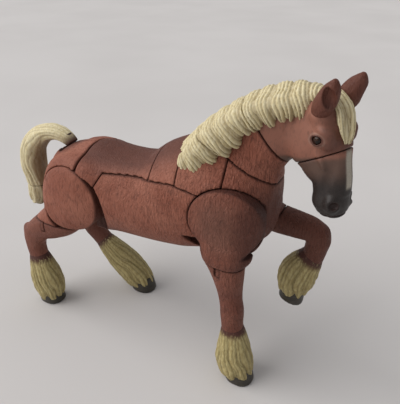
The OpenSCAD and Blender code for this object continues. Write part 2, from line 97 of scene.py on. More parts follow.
class Tube:
    """A limb of superelliptic sections along a spline. Rows are x, y, z, half width across, half depth."""

    def __init__(self, rows, power=2.3):
        s = spline(rows)
        self.c, self.size, self.power = s[:, :3], s[:, 3:], power
        t = np.gradient(self.c, axis=0)
        self.t = t / np.linalg.norm(t, axis=1)[:, None]
        self.along = np.concatenate([[0], np.cumsum(np.linalg.norm(np.diff(self.c, axis=0), axis=1))])
        w = np.array([0.0, 1.0, 0.0]) - self.t * self.t[:, 1:2]
        self.w = w / np.linalg.norm(w, axis=1)[:, None]
        self.v = np.cross(self.t, self.w)
        self.length = self.along[-1]

    def coords(self, p):
        """Arc length, offsets across and in depth, and the two half sizes there."""
        near = np.argmin((self.c**2).sum(1)[None, :] - 2 * p @ self.c.T, axis=1)
        s = self.along[near] + ((p - self.c[near]) * self.t[near]).sum(1)

        def at(table):
            return np.stack([np.interp(s, self.along, table[:, k]) for k in range(table.shape[1])], 1)

        q = p - at(self.c)
        size = at(self.size)
        return s, (q * at(self.w)).sum(1), (q * at(self.v)).sum(1), size[:, 0], size[:, 1]

    def __call__(self, p, full=False):
        """Distance from the skin; full adds the arc length and the offsets as shares of the half sizes."""
        s, u, v, a, b = self.coords(p)
        r = (np.abs(u / a) ** self.power + np.abs(v / b) ** self.power) ** (1 / self.power) + 1e-6
        f = np.hypot(u, v) * (1 - 1 / r)
        f = np.where(r < 0.02, -np.minimum(a, b), f)
        end = np.maximum(-s, s - self.length)
        f = np.where(end > 0, np.hypot(np.maximum(f, 0), end), np.maximum(f, end))
        return (f, s, u / a, v / b) if full else f


def blob(p, centre, radii, pitch=0.0, yaw=0.0):
    """Ellipsoid; pitch turns it about the across axis, nose down, and yaw about the upright axis."""
    q = p - np.array(centre)
    cy, sy = np.cos(np.radians(yaw)), np.sin(np.radians(yaw))
    q = np.stack([cy * q[:, 0] + sy * q[:, 1], -sy * q[:, 0] + cy * q[:, 1], q[:, 2]], 1)
    c, s = np.cos(np.radians(pitch)), np.sin(np.radians(pitch))
    q = np.stack([c * q[:, 0] - s * q[:, 2], q[:, 1], s * q[:, 0] + c * q[:, 2]], 1)
    r = np.array(radii, float)
    k0 = np.linalg.norm(q / r, axis=1)
    k1 = np.linalg.norm(q / r**2, axis=1) + 1e-9
    return np.where(k0 < 1e-3, -r.min(), k0 * (k0 - 1) / k1)


def box(p, centre, half):
    q = np.abs(p - np.array(centre)) - np.array(half)
    return np.linalg.norm(np.maximum(q, 0), axis=1) + np.minimum(q.max(1), 0)


def plane(p, at, tilt):
    t = np.radians(tilt)
    return (p[:, 0] - at[0]) * np.cos(t) + (p[:, 2] - at[2]) * np.sin(t)


def disc(p, pivot, r):
    return np.hypot(p[:, 0] - pivot[0], p[:, 2] - pivot[1]) - r


def mirrored(p):
    """Both sides folded onto the right one."""
    return np.stack([p[:, 0], -np.abs(p[:, 1]), p[:, 2]], 1)


def hash3(i):
    """A fixed value from 0 to 1 for each corner of the noise's cells."""
    h = (i[:, 0] * 374761393 + i[:, 1] * 668265263 + i[:, 2] * 2147483647) & 0xFFFFFFFF
    h = ((h ^ (h >> 13)) * 1274126177) & 0xFFFFFFFF
    return ((h ^ (h >> 16)) & 0xFFFF) / 65535.0


def noise(p):
    """Smooth value noise from 0 to 1, one cell per unit."""
    b = np.floor(p).astype(np.int64)
    t = p - b
    t = t * t * (3 - 2 * t)
    out = 0
    for dx in (0, 1):
        for dy in (0, 1):
            for dz in (0, 1):
                w = ((t[:, 0] if dx else 1 - t[:, 0]) * (t[:, 1] if dy else 1 - t[:, 1])
                     * (t[:, 2] if dz else 1 - t[:, 2]))
                out = out + w * hash3(b + np.array([dx, dy, dz]))
    return out


# the horse's form
TRUNK = Tube([
    (-49.2, 0, 56.2, 2.6, 4.2), (-47.4, 0, 56.6, 6.0, 8.8), (-44.0, 0, 57.2, 9.6, 12.6),
    (-38.0, 0, 58.2, 12.8, 15.0), (-31.0, 0, 58.9, 14.0, 16.4), (-24.0, 0, 59.4, 14.3, 17.1),
    (-16.0, 0, 59.8, 14.8, 15.9), (-8.0, 0, 60.3, 15.6, 15.4), (0.0, 0, 61.4, 16.0, 16.0),
    (6.0, 0, 63.3, 16.1, 17.7), (12.0, 0, 65.8, 15.7, 18.7), (18.0, 0, 67.6, 15.2, 19.3),
    (24.0, 0, 67.9, 14.8, 19.0), (30.0, 0, 67.3, 13.7, 17.7), (33.5, 0, 67.0, 12.0, 16.2),
    (36.5, 0, 66.8, 9.4, 13.6), (38.8, 0, 66.5, 6.2, 9.6), (40.0, 0, 66.4, 3.0, 5.0)], 2.1)

NECK = Tube([
    (21.6, 0, 70.8, 9.6, 12.6), (24.6, 0, 76.5, 9.7, 13.7), (28.4, 0, 83.1, 8.7, 12.8),
    (31.3, 0, 87.5, 7.6, 11.2), (35.2, 0, 91.6, 6.8, 9.9), (40.3, 0, 95.0, 6.4, 9.2)], 2.15)

POLL = Tube([
    (33.0, 0, 90.0, 6.6, 10.2), (37.0, 0, 93.2, 6.5, 9.8), (41.6, 0, 96.0, 6.4, 9.4),
    (47.0, -1.5, 97.8, 5.9, 8.2), (51.0, -3.0, 98.4, 4.6, 5.8)], 2.2)

SKULL = Tube([
    (51.2, 0, 105.0, 3.4, 3.0), (51.8, 0, 102.2, 5.0, 4.8), (51.5, 0, 97.6, 6.0, 6.6),
    (51.4, 0, 92.6, 5.8, 7.7), (52.9, 0, 88.0, 5.0, 7.2), (55.7, 0, 83.6, 4.2, 5.5),
    (56.5, 0, 79.8, 4.0, 4.9), (56.8, 0, 76.5, 4.4, 4.8), (57.0, 0, 73.8, 3.2, 3.4)], 2.3)

BRIDGE = Tube([(55.8, 0, 98.0, 3.6, 2.2), (57.4, 0, 92.0, 3.0, 2.2), (58.6, 0, 86.0, 2.5, 2.0),
               (59.4, 0, 80.5, 2.6, 1.9)], 2.6)

# centre, radii, pitch, blend: right side, mirrored to the left
TORSO_MUSCLES = [
    ((23.0, -8.6, 71.0), (9.0, 5.8, 8.0), 15, 3.0),  # shoulder blade
    ((32.4, -7.0, 64.0), (6.4, 6.4, 11.5), 0, 2.0),  # pectoral
    ((-32.0, -9.4, 59.0), (13.8, 7.2, 14.2), 0, 3.0),  # thigh
    ((-38.6, -8.8, 57.0), (7.2, 6.6, 14.5), 6, 2.0),  # buttock
    ((-26.4, -9.2, 66.6), (6.0, 4.8, 5.2), 0, 3.0),  # point of the hip
]
ARM_MUSCLES = [  # right side only: the left foreleg is raised
    ((26.4, -10.1, 66.2), (12.6, 6.4, 14.2), 0, 2.8),  # shoulder
    ((28.2, -11.5, 57.0), (8.4, 5.2, 9.0), 0, 2.0),  # upper arm
]
THIGH_MUSCLES = [
    ((-31.5, -11.0, 54.6), (11.6, 5.8, 10.6), 0, 3.0),  # stifle
    ((-40.6, -10.6, 54.0), (5.4, 5.8, 11.0), 0, 1.6),  # hamstring
]

# centre, radii and pitch of the joints and muscles of each lower leg: side, and whether it is a foreleg
LEG_MUSCLES = {
    ("right", True): [((30.6, -14.3, 45.6), (3.6, 2.3, 6.0), 0), ((33.0, -12.2, 33.4), (1.6, 2.6, 3.0), 0)],
    ("left", True): [((51.8, 12.3, 54.6), (2.2, 2.8, 2.2), 40), ((42.0, 13.4, 57.0), (7.0, 2.3, 2.6), 4)],
    ("right", False): [
        ((-59.4, -12.0, 36.6), (1.7, 1.7, 2.2), -30), ((-50.6, -13.6, 40.6), (6.0, 2.3, 3.4), -32)],
    ("left", False): [
        ((-51.6, 12.0, 33.8), (1.7, 1.7, 2.2), -30), ((-45.0, 13.6, 40.4), (3.4, 2.3, 5.4), -36)],
}

FORE_RIGHT = Tube([
    (28.2, -12.1, 57.4, 4.7, 7.4), (28.3, -12.1, 54.6, 4.8, 7.8), (28.5, -12.2, 52.0, 4.8, 7.4),
    (28.9, -12.3, 49.8, 4.6, 6.2), (29.6, -12.3, 46.0, 4.2, 5.2), (30.4, -12.2, 40.0, 3.6, 4.1),
    (31.0, -12.2, 35.0, 3.5, 3.7), (31.4, -12.1, 31.0, 3.6, 3.9), (31.6, -12.1, 27.6, 3.4, 3.7),
    (31.8, -12.0, 24.0, 3.2, 3.7), (32.0, -12.0, 21.0, 3.2, 3.7)], 2.2)
FORE_LEFT = Tube([
    (27.0, 11.8, 59.6, 4.6, 6.6), (32.0, 12.0, 57.4, 4.4, 6.0), (37.6, 12.2, 55.9, 4.2, 5.2),
    (43.5, 12.2, 55.2, 3.9, 4.5), (48.4, 12.2, 54.8, 3.7, 4.3), (50.8, 12.2, 52.2, 3.6, 4.2),
    (50.6, 12.2, 48.2, 3.4, 3.8), (49.8, 12.2, 44.4, 3.3, 3.8), (48.9, 12.2, 41.4, 3.2, 3.7)], 2.2)
HIND_RIGHT = Tube([
    (-34.0, -11.6, 52.0, 5.0, 7.4), (-39.6, -11.9, 47.0, 5.0, 7.2), (-46.0, -12.0, 42.6, 4.5, 6.2),
    (-51.6, -12.0, 39.0, 4.0, 5.0), (-55.8, -12.0, 34.8, 3.8, 4.9), (-56.9, -12.0, 29.6, 3.4, 4.2),
    (-56.4, -12.0, 24.4, 3.2, 4.2), (-55.6, -12.0, 20.0, 3.3, 4.4)], 2.2)
HIND_LEFT = Tube([
    (-34.0, 11.6, 52.0, 5.0, 7.4), (-40.6, 11.9, 45.0, 4.9, 7.2), (-45.4, 12.0, 38.8, 4.3, 5.9),
    (-48.4, 12.0, 32.6, 3.9, 4.9), (-47.4, 12.0, 28.0, 3.6, 4.4), (-43.8, 12.0, 24.2, 3.3, 4.2),
    (-39.8, 12.0, 20.6, 3.3, 4.4)], 2.2)

FEATHERS = {
    "fore_right": Tube([
        (31.7, -12.0, 27.0, 2.7, 3.2), (32.1, -12.0, 22.4, 4.0, 4.5), (32.5, -11.9, 17.0, 5.1, 5.8),
        (32.8, -11.8, 11.6, 5.6, 6.8), (33.5, -11.7, 7.4, 5.6, 6.6), (34.4, -11.6, 4.6, 5.3, 5.9),
        (34.8, -11.6, 3.2, 4.7, 5.2)], 2.2),
    "fore_left": Tube([
        (50.2, 12.2, 46.6, 2.9, 3.3), (48.8, 12.2, 42.8, 4.1, 4.9), (46.8, 12.2, 38.6, 5.3, 6.5),
        (45.4, 12.2, 34.4, 5.8, 6.9), (44.8, 12.2, 30.6, 5.4, 6.0), (44.6, 12.2, 27.4, 4.6, 5.0)], 2.2),
    "hind_right": Tube([
        (-56.6, -12.0, 26.4, 2.9, 3.8), (-55.9, -12.0, 21.6, 4.1, 5.4), (-55.0, -12.0, 16.4, 5.2, 7.0),
        (-54.7, -11.8, 11.4, 5.5, 7.8), (-54.5, -11.7, 7.2, 5.5, 7.2), (-54.2, -11.7, 4.4, 5.1, 6.1),
        (-54.0, -11.6, 3.2, 4.7, 5.5)], 2.2),
    "hind_left": Tube([
        (-43.2, 12.0, 23.4, 2.9, 3.8), (-39.0, 12.0, 19.8, 4.0, 5.4), (-33.8, 12.2, 15.4, 5.1, 6.8),
        (-29.0, 12.6, 11.2, 5.7, 7.2), (-25.4, 12.8, 7.6, 5.6, 6.7), (-23.4, 13.0, 4.8, 5.1, 5.9),
        (-22.8, 13.0, 3.4, 4.6, 5.4)], 2.2),
}
HOOVES = {
    "fore_right": Tube([
        (34.4, -11.6, 7.0, 4.0, 4.4), (34.9, -11.6, 4.0, 4.4, 4.8), (35.3, -11.6, 1.0, 4.7, 5.1)]),
    "fore_left": Tube([
        (44.8, 12.2, 30.4, 3.9, 4.2), (44.6, 12.2, 27.4, 4.1, 4.4), (44.2, 12.2, 23.4, 4.3, 4.6)]),
    "hind_right": Tube([
        (-54.4, -11.7, 7.0, 4.2, 4.9), (-54.1, -11.7, 4.0, 4.5, 5.2), (-53.8, -11.6, 1.0, 4.7, 5.4)]),
    "hind_left": Tube([
        (-23.6, 13.0, 7.0, 4.2, 4.9), (-22.9, 13.0, 4.0, 4.5, 5.2), (-22.4, 13.0, 1.0, 4.7, 5.4)]),
}

MANE = Tube([
    (8.6, -2.2, 80.0, 1.2, 1.2), (11.2, -3.4, 81.8, 4.4, 3.2), (15.6, -3.4, 84.8, 6.0, 4.6),
    (21.0, -3.2, 89.4, 6.2, 5.2), (26.0, -2.8, 93.7, 5.8, 5.0), (31.2, -2.5, 97.3, 5.5, 4.9),
    (37.0, -2.4, 100.3, 5.2, 4.9), (42.4, -2.6, 102.3, 4.8, 4.6), (47.2, -3.2, 103.4, 4.0, 3.8),
    (50.6, -3.8, 103.9, 2.2, 2.2)], 2.1)
FALL = Tube([
    (11.2, -7.4, 80.0, 1.2, 1.6), (13.2, -9.8, 79.8, 2.4, 3.6), (16.8, -9.9, 82.6, 2.7, 4.8),
    (21.0, -9.4, 86.8, 2.7, 5.4), (25.2, -8.6, 91.0, 2.5, 5.0), (29.6, -7.8, 95.0, 2.4, 4.4),
    (34.4, -7.2, 98.0, 2.3, 4.3), (39.4, -6.9, 100.2, 2.3, 4.0), (44.4, -6.6, 101.4, 2.1, 3.6),
    (47.6, -6.2, 102.0, 1.2, 2.0)], 2.1)
FORELOCK = Tube([
    (49.4, 0.0, 104.2, 2.4, 1.6), (52.8, 0.0, 104.5, 3.4, 2.3), (55.8, 0.0, 102.2, 3.5, 2.5),
    (57.4, -0.2, 98.8, 3.6, 2.2), (58.4, -0.6, 96.0, 3.1, 1.8), (58.9, -0.9, 93.8, 1.6, 1.0)], 2.2)
TAIL = Tube([
    (-39.4, 0, 71.6, 2.2, 2.1), (-41.4, 0, 73.8, 2.6, 2.3), (-45.0, 0, 75.4, 3.4, 2.6),
    (-49.6, 0, 75.6, 4.1, 3.1), (-54.2, 0, 74.0, 4.7, 3.7), (-58.6, 0, 70.6, 5.1, 4.3),
    (-61.6, 0, 65.8, 5.4, 4.7), (-62.8, 0, 60.0, 5.4, 4.8), (-62.4, 0, 54.6, 4.9, 4.6),
    (-62.0, 0, 51.0, 4.6, 4.5), (-62.8, 0, 47.4, 4.4, 4.7), (-64.6, 0, 44.4, 3.6, 4.3),
    (-66.8, 0, 42.2, 2.1, 2.8), (-68.6, 0, 41.0, 0.8, 1.1)], 2.1)


def with_muscles(f, p, muscles):
    q = mirrored(p)
    for centre, radii, pitch, k in muscles:
        f = smin(f, blob(q, centre, radii, pitch), k)
    return f


def trunk_form(p):
    return with_muscles(TRUNK(p), p, TORSO_MUSCLES)


def torso_form(p):
    return smin(trunk_form(p), NECK(p), 3.0)


def to_head(p):
    """Points turned back so that the head looks straight ahead."""
    q = p - HEAD_PIVOT
    c, s = np.cos(HEAD_YAW), np.sin(HEAD_YAW)
    return np.stack([c * q[:, 0] - s * q[:, 1], s * q[:, 0] + c * q[:, 1], q[:, 2]], 1) + HEAD_PIVOT


def almond(m):
    """Distance from the rim of the eye opening, seen from the side."""
    dx, dz = m[:, 0] - EYE[0], m[:, 2] - EYE[2]
    c, s = np.cos(np.radians(-14.0)), np.sin(np.radians(-14.0))
    return np.hypot(c * dx - s * dz, 1.42 * (s * dx + c * dz)) - 1.5


def mouth_line(m):
    """Distance from the slit between the lips, seen from the side."""
    slit = np.abs((m[:, 2] - 74.3) - 0.25 * (m[:, 0] - 59.0)) - 0.14
    return np.maximum(slit, 55.0 - m[:, 0])


def head_form(p):
    h = to_head(p)
    m = mirrored(h)
    f = SKULL(h)
    f = smin(f, BRIDGE(h), 1.2)
    f = smin(f, blob(m, (48.6, -3.2, 91.6), (5.8, 2.9, 6.2)), 1.2)  # cheek
    f = smin(f, blob(m, (55.2, -4.7, 97.2), (2.8, 2.0, 1.6), 24), 0.9)  # brow
    f = smin(f, blob(m, (56.2, -4.4, 95.0), (1.9, 1.9, 2.6)), 0.9)  # front of the eye socket
    f = smin(f, blob(m, (54.4, -4.5, 90.8), (4.4, 1.1, 0.9), 60), 0.9)  # cheekbone ridge
    f = smin(f, blob(m, (52.6, -4.2, 100.4), (2.8, 2.4, 2.6)), 1.2)  # ear base
    f = smin(f, blob(m, (59.2, -3.2, 77.8), (2.0, 2.0, 2.7), -12), 0.9)  # nostril wing
    f = smin(f, blob(h, (58.7, 0, 75.2), (2.7, 3.8, 2.2)), 0.9)  # upper lip
    f = smin(f, blob(h, (56.4, 0, 73.8), (2.5, 2.7, 1.7)), 0.7)  # chin
    f = smax(f, -blob(m, (50.8, -7.6, 98.4), (1.8, 1.3, 1.5)), 1.2)  # hollow over the eye
    f = smax(f, -blob(m, (60.6, -4.3, 78.2), (1.0, 1.6, 1.3), 30, -30), 0.3)  # nostril
    f = smax(f, -blob(m, (57.7, -5.0, 85.4), (1.1, 1.5, 5.4), 15), 1.4)  # hollow beside the bridge
    f = smax(f, -blob(m, (52.0, -6.6, 84.0), (1.0, 1.3, 4.0), -30), 1.2)  # hollow before the jaw
    f = smax(f, -np.maximum(mouth_line(m), -f - 0.5), 0.25)
    ball = np.linalg.norm(m - np.array([EYE[0], -EYE[1], EYE[2]]), axis=1)
    f = smin(f, ball - LID_R, 0.5)
    f = smax(f, -np.maximum(almond(m), m[:, 1] + 4.0), 0.12)
    return smax(f, EYE_R - ball, 0.08)


def upper_form(p):
    return smin(smin(NECK(p), POLL(p), 2.5), head_form(p), 2.0)


def fore_form(p):
    f = np.where(p[:, 1] < 0, with_muscles(trunk_form(p), p, ARM_MUSCLES), trunk_form(p))
    return smin(smin(f, FORE_RIGHT(p), 1.5), FORE_LEFT(p), 2.0)


def hind_form(p):
    f = with_muscles(trunk_form(p), p, THIGH_MUSCLES)
    return smin(smin(f, HIND_RIGHT(p), 2.0), HIND_LEFT(p), 2.0)


# cuts: each is positive outside the piece
def barrel_seam(p):
    """Positive above the barrel's upper seam and behind its short rear seam."""
    x, z = p[:, 0], p[:, 2]
    top = z - (74.2 + np.where(x < 10, 0.144, -0.105) * (x - 10))
    rear = np.minimum(-17.3 + (z - 71.5) * 0.54 - x, z - 58.0)
    return np.maximum(top, rear)


def below_neck(p):
    return plane(p, NECK_CUT, NECK_TILT) + RUN_GAP / 2


def above_neck(p):
    return RUN_GAP / 2 - plane(p, NECK_CUT, NECK_TILT)


def behind_head(p):
    return plane(p, HEAD_CUT, HEAD_TILT) + RUN_GAP / 2


def beyond_head(p):
    return RUN_GAP / 2 - plane(p, HEAD_CUT, HEAD_TILT)


def arm_depth(p):
    """How near the middle the leg's room comes: less near below the disc than behind it."""
    low = (p[:, 2] < ARM_TOP) & (disc(p, SHOULDER, SHOULDER_R + RUN_GAP) > 0)
    return np.where(low, ARM_IN, CHEST_HALF)


def shoulder_room(p):
    """The room round a shoulder disc, wider at the bottom for the upper arm."""
    r = SHOULDER_R + RUN_GAP + 4.5 * (p[:, 2] < ARM_TOP)
    return -np.maximum(disc(p, SHOULDER, r), arm_depth(p) - np.abs(p[:, 1]))


def hip_room(p):
    """The room round a thigh disc; a second, shifted bore opens it wide at its lower front."""
    wide = disc(p, (HIP[0] + 2.0, HIP[1] - 2.2), HIP_R + 1.2)
    return -np.maximum(np.minimum(disc(p, HIP, HIP_R + 0.14), wide), CHEST_HALF - np.abs(p[:, 1]))


def forearm_room(p):
    """The groove that the raised left foreleg leaves the breast through."""
    r = np.hypot(p[:, 1] - 12.2, p[:, 2] - 56.4) - 8.6
    return -np.maximum.reduce([r, 27.5 - p[:, 0], CHEST_HALF - p[:, 1]])


def tail_seat(p):
    """The flat round seat of the tail."""
    q = p - np.array(TAIL_ROOT)
    height = plane(p, TAIL_ROOT, TAIL_TILT)
    across = np.sqrt(np.maximum((q**2).sum(1) - height**2, 0))
    return -np.maximum(across - 5.5, -height - 0.15)


def core_room(p):
    """The hollow for the core bar."""
    return -box(p, (-2.5, 0, 59.75), (33.5, 6.0, 7.75))


# meshing
BLOCK = 4  # grid cells along the side of a block
SLACK = 0.6  # margin for fields that are no true distance
BATCH = 120000  # grid points evaluated at once


def surface_net(field, lo, hi, step):
    """Vertices and quads of field = 0, evaluated only in the blocks of the grid that the skin may cross."""
    lo = np.array(lo, float)
    blocks = np.ceil((np.array(hi, float) - lo) / step / BLOCK).astype(int)
    n = blocks * BLOCK + 1
    ijk = np.stack(np.meshgrid(*[np.arange(b) for b in blocks], indexing="ij"), -1).reshape(-1, 3)
    coarse = field(lo + (ijk * BLOCK + BLOCK // 2) * step).reshape(blocks)
    near = np.abs(coarse) < BLOCK * step * 1.9 + SLACK

    def per_cell(table):
        return table.repeat(BLOCK, 0).repeat(BLOCK, 1).repeat(BLOCK, 2)

    grid = np.ones(n)
    grid[:-1, :-1, :-1] = np.where(per_cell(coarse) > 0, 1.0, -1.0)
    wide = per_cell(near)
    mask = np.zeros(n, bool)
    for dx in (0, 1):
        for dy in (0, 1):
            for dz in (0, 1):
                mask[dx:n[0] - 1 + dx, dy:n[1] - 1 + dy, dz:n[2] - 1 + dz] |= wide
    pts = np.argwhere(mask)
    values = np.empty(len(pts))
    for k in range(0, len(pts), BATCH):
        values[k:k + BATCH] = field(lo + pts[k:k + BATCH] * step)
    grid[mask] = values

    inside = grid < 0
    count = np.zeros(n - 1, np.int8)
    corners = [(a, b, c) for a in (0, 1) for b in (0, 1) for c in (0, 1)]
    for a, b, c in corners:
        count += inside[a:n[0] - 1 + a, b:n[1] - 1 + b, c:n[2] - 1 + c]
    cells = np.argwhere((count > 0) & (count < 8))
    ids = np.full(n - 1, -1, np.int64)
    ids[tuple(cells.T)] = np.arange(len(cells))
    total = np.zeros((len(cells), 3))
    hits = np.zeros(len(cells))
    for i, a in enumerate(corners):
        for b in corners[i + 1:]:
            if sum(abs(a[k] - b[k]) for k in range(3)) != 1:
                continue
            va = grid[tuple((cells + a).T)]
            vb = grid[tuple((cells + b).T)]
            cross = (va < 0) != (vb < 0)
            t = np.where(cross, va / np.where(cross, va - vb, 1), 0)[:, None]
            total += np.where(cross[:, None], np.array(a) + t * (np.array(b) - np.array(a)), 0)
            hits += cross
    verts = lo + (cells + total / hits[:, None]) * step

    quads = []
    for axis in range(3):
        u, v = (axis + 1) % 3, (axis + 2) % 3
        sl_a, sl_b = [slice(None)] * 3, [slice(None)] * 3
        sl_a[axis], sl_b[axis] = slice(None, -1), slice(1, None)
        change = inside[tuple(sl_a)] != inside[tuple(sl_b)]
        e = np.argwhere(change)
        e = e[(e[:, u] > 0) & (e[:, v] > 0) & (e[:, u] < n[u] - 1) & (e[:, v] < n[v] - 1)]
        flip = inside[tuple(e.T)]
        du, dv = np.eye(3, dtype=int)[u], np.eye(3, dtype=int)[v]
        ring = [ids[tuple((e - off).T)] for off in (du + dv, dv, 0 * du, du)]
        q = np.stack(ring, 1)
        q[~flip] = q[~flip][:, ::-1]
        quads.append(q)
    quads = np.concatenate(quads)
    return verts, quads[(quads >= 0).all(1)]


MATERIALS = {}
SEAM_REACH = 0.42  # width of the painted shade beside a seam


def make(name, skin, cuts, lo, hi, step, body, nodes, slot, material, paint, rounding=0.22, seam_shade=0.65):
    """One visible piece: skin cut by its seams. paint gives three masks: dark marks, tone and one of its own;
    painted shade is added to the first along the seams and down their walls.
    """
    def field(p):
        f = skin(p)
        for cut in cuts:
            f = smax(f, cut(p), rounding)
        return f

    verts, quads = surface_net(field, lo, hi, step)
    seam = np.max([cut(verts) for cut in cuts], axis=0) if cuts else np.full(len(verts), -9.0)
    depth = skin(verts)
    masks = paint(verts)
    # painted shade: a dark band beside each seam
    shade_and_dark_marks = np.clip(1 + seam / SEAM_REACH, 0, 1) ** 1.3 * seam_shade
    # the seam behind a thigh is nearly closed, and its painted shade hardly darker
    shade_and_dark_marks *= 1 - 0.9 * step_up(-verts[:, 0], 29.0, 32.0) * (np.abs(disc(verts, HIP, HIP_R)) < 0.8)
    # painted shade: walls of a seam darken away from the skin
    shade_and_dark_marks = np.maximum(shade_and_dark_marks, 0.55 * step_up(-depth, 0.5, 1.2))
    masks[:, 0] = np.maximum(masks[:, 0], shade_and_dark_marks)
    mesh = bpy.data.meshes.new(name)
    mesh.vertices.add(len(verts))
    mesh.vertices.foreach_set("co", ((verts + SHIFT) * MM).astype(np.float32).ravel())
    mesh.loops.add(quads.size)
    mesh.loops.foreach_set("vertex_index", quads.astype(np.int32).ravel())
    mesh.polygons.add(len(quads))
    mesh.polygons.foreach_set("loop_start", np.arange(0, quads.size, 4, dtype=np.int32))
    mesh.polygons.foreach_set("use_smooth", np.ones(len(quads), bool))
    mesh.update(calc_edges=True)
    mesh.validate()
    layer = mesh.attributes.new("paint", "FLOAT_COLOR", "POINT")
    rgba = np.ones((len(verts), 4), np.float32)
    rgba[:, :3] = np.clip(masks, 0, 1)
    layer.data.foreach_set("color", rgba.ravel())
    obj = bpy.data.objects.new(name, mesh)
    bpy.context.scene.collection.objects.link(obj)
    mesh.materials.append(MATERIALS[material])
    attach(obj, body)
    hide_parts(*nodes)


def plain(p):
    return np.zeros((len(p), 3))


# strands
def ridges(phase):
    """1 on a strand's back, 0 in the groove between strands."""
    return np.abs(np.sin(np.pi * phase)) ** 0.65


def mane_pattern(p):
    """Locks and single strands: their phase runs along the crest, so that each one hangs off it."""
    s, _, v, _, _ = FALL.coords(p)
    drop = np.hypot(p[:, 1] + 2.5, np.minimum(v, 3.0)) * 0.22
    wob = noise(np.stack([p[:, 0] * 0.16, p[:, 1] * 0.16, p[:, 2] * 0.12], 1)) - 0.5
    lean = s + 1.2 * drop + 1.7 * wob
    clump = ridges(lean / 4.3 + 0.3)
    ripple = noise(np.stack([p[:, 0] * 0.42, p[:, 1] * 0.3, p[:, 2] * 0.2], 1))
    fine = ridges(lean / 0.98 + ripple)
    return lean, clump, fine


def fall_low(p):
    """0 on the crest, 1 at the lower tips of the fall."""
    _, _, _, v = FALL(p, full=True)
    return step_up(-v, -0.4, 0.9)


def mane_skin(p):
    lean, clump, fine = mane_pattern(p)
    f = smin(MANE(p), FALL(p), 1.6)
    low = fall_low(p)
    tips = noise(np.stack([lean / 1.25, 0 * lean, 0 * lean], 1))
    ragged = 0.9 * (1 - clump) + 3.2 * tips**2 + 0.8 * (1 - fine) - 0.6
    return f + 0.52 * (1 - fine) + 0.62 * (1 - clump) + low * ragged


def mane_paint(p):
    _, clump, fine = mane_pattern(p)
    out = plain(p)
    low = fall_low(p)
    groove = np.maximum((1 - fine) ** 0.9, 0.9 * (1 - clump) ** 1.3)
    out[:, 0] = groove * (0.6 + 0.4 * low)
    out[:, 1] = low
    return out


def round_pattern(tube, p, strands, tufts, twist):
    f, s, u, v = tube(p, full=True)
    turn = np.arctan2(v, u) / (2 * np.pi)
    cos, sin = np.cos(2 * np.pi * turn), np.sin(2 * np.pi * turn)
    wob = noise(np.stack([cos * 1.6 + 9, sin * 1.6 + 5, s * 0.16], 1)) - 0.5
    fine = ridges(turn * strands + twist * s / 20.0 + 1.8 * wob)
    clump = ridges(turn * tufts + twist * s / 24.0 + 1.1 * wob + 0.25)
    return f, s, u, v, fine, clump


def tail_skin(p):
    f, s, _, _, fine, clump = round_pattern(TAIL, p, 16, 5, 1.0)
    grow = step_up(s, 0, 14)
    end = step_up(s, TAIL.length - 16, TAIL.length)
    return f + grow * (0.34 * (1 - fine) + 0.5 * (1 - clump)) + end * 1.2 * (1 - clump)


def tail_paint(p):
    _, s, _, v, fine, clump = round_pattern(TAIL, p, 16, 5, 1.0)
    out = plain(p)
    inner = step_up(v, 0.45, 1.0)
    out[:, 0] = np.maximum((1 - fine) ** 1.5 * 0.8, 0.75 * (1 - clump) ** 2)
    out[:, 1] = inner
    out[:, 2] = step_up(s, 1.5, 5.0)
    return out


def forelock_skin(p):
    f, s, _, _, fine, clump = round_pattern(FORELOCK, to_head(p), 18, 5, 0.5)
    end = step_up(s, FORELOCK.length - 7, FORELOCK.length)
    return f + 0.36 * (1 - fine) + 0.9 * (1 - clump) + end * 1.6 * (1 - clump)


def forelock_paint(p):
    _, s, _, _, fine, clump = round_pattern(FORELOCK, to_head(p), 18, 5, 0.5)
    out = plain(p)
    out[:, 0] = np.maximum((1 - fine) ** 1.4, 0.7 * (1 - clump) ** 2)
    out[:, 1] = step_up(s, FORELOCK.length * 0.45, FORELOCK.length)
    return out


def feather_fields(key):
    tube = FEATHERS[key]

    def skin(p):
        f, s, _, _, fine, clump = round_pattern(tube, p, 24, 9, 0.7)
        grow = step_up(s, 1.0, tube.length * 0.55)
        scale = ridges(s / 5.2 + 1.7 * clump)
        end = step_up(s, tube.length - 5.0, tube.length)
        return (f + grow * (0.30 * (1 - fine) + 0.55 * (1 - clump) + 0.22 * (1 - scale))
                + end * 1.2 * (1 - clump))

    def paint(p):
        _, s, _, _, fine, clump = round_pattern(tube, p, 24, 9, 0.7)
        out = plain(p)
        out[:, 0] = np.maximum((1 - fine) ** 1.4 * 0.8, 0.8 * (1 - clump) ** 2)
        out[:, 1] = step_up(s, 0.5, 7.0)
        return out

    return skin, paint


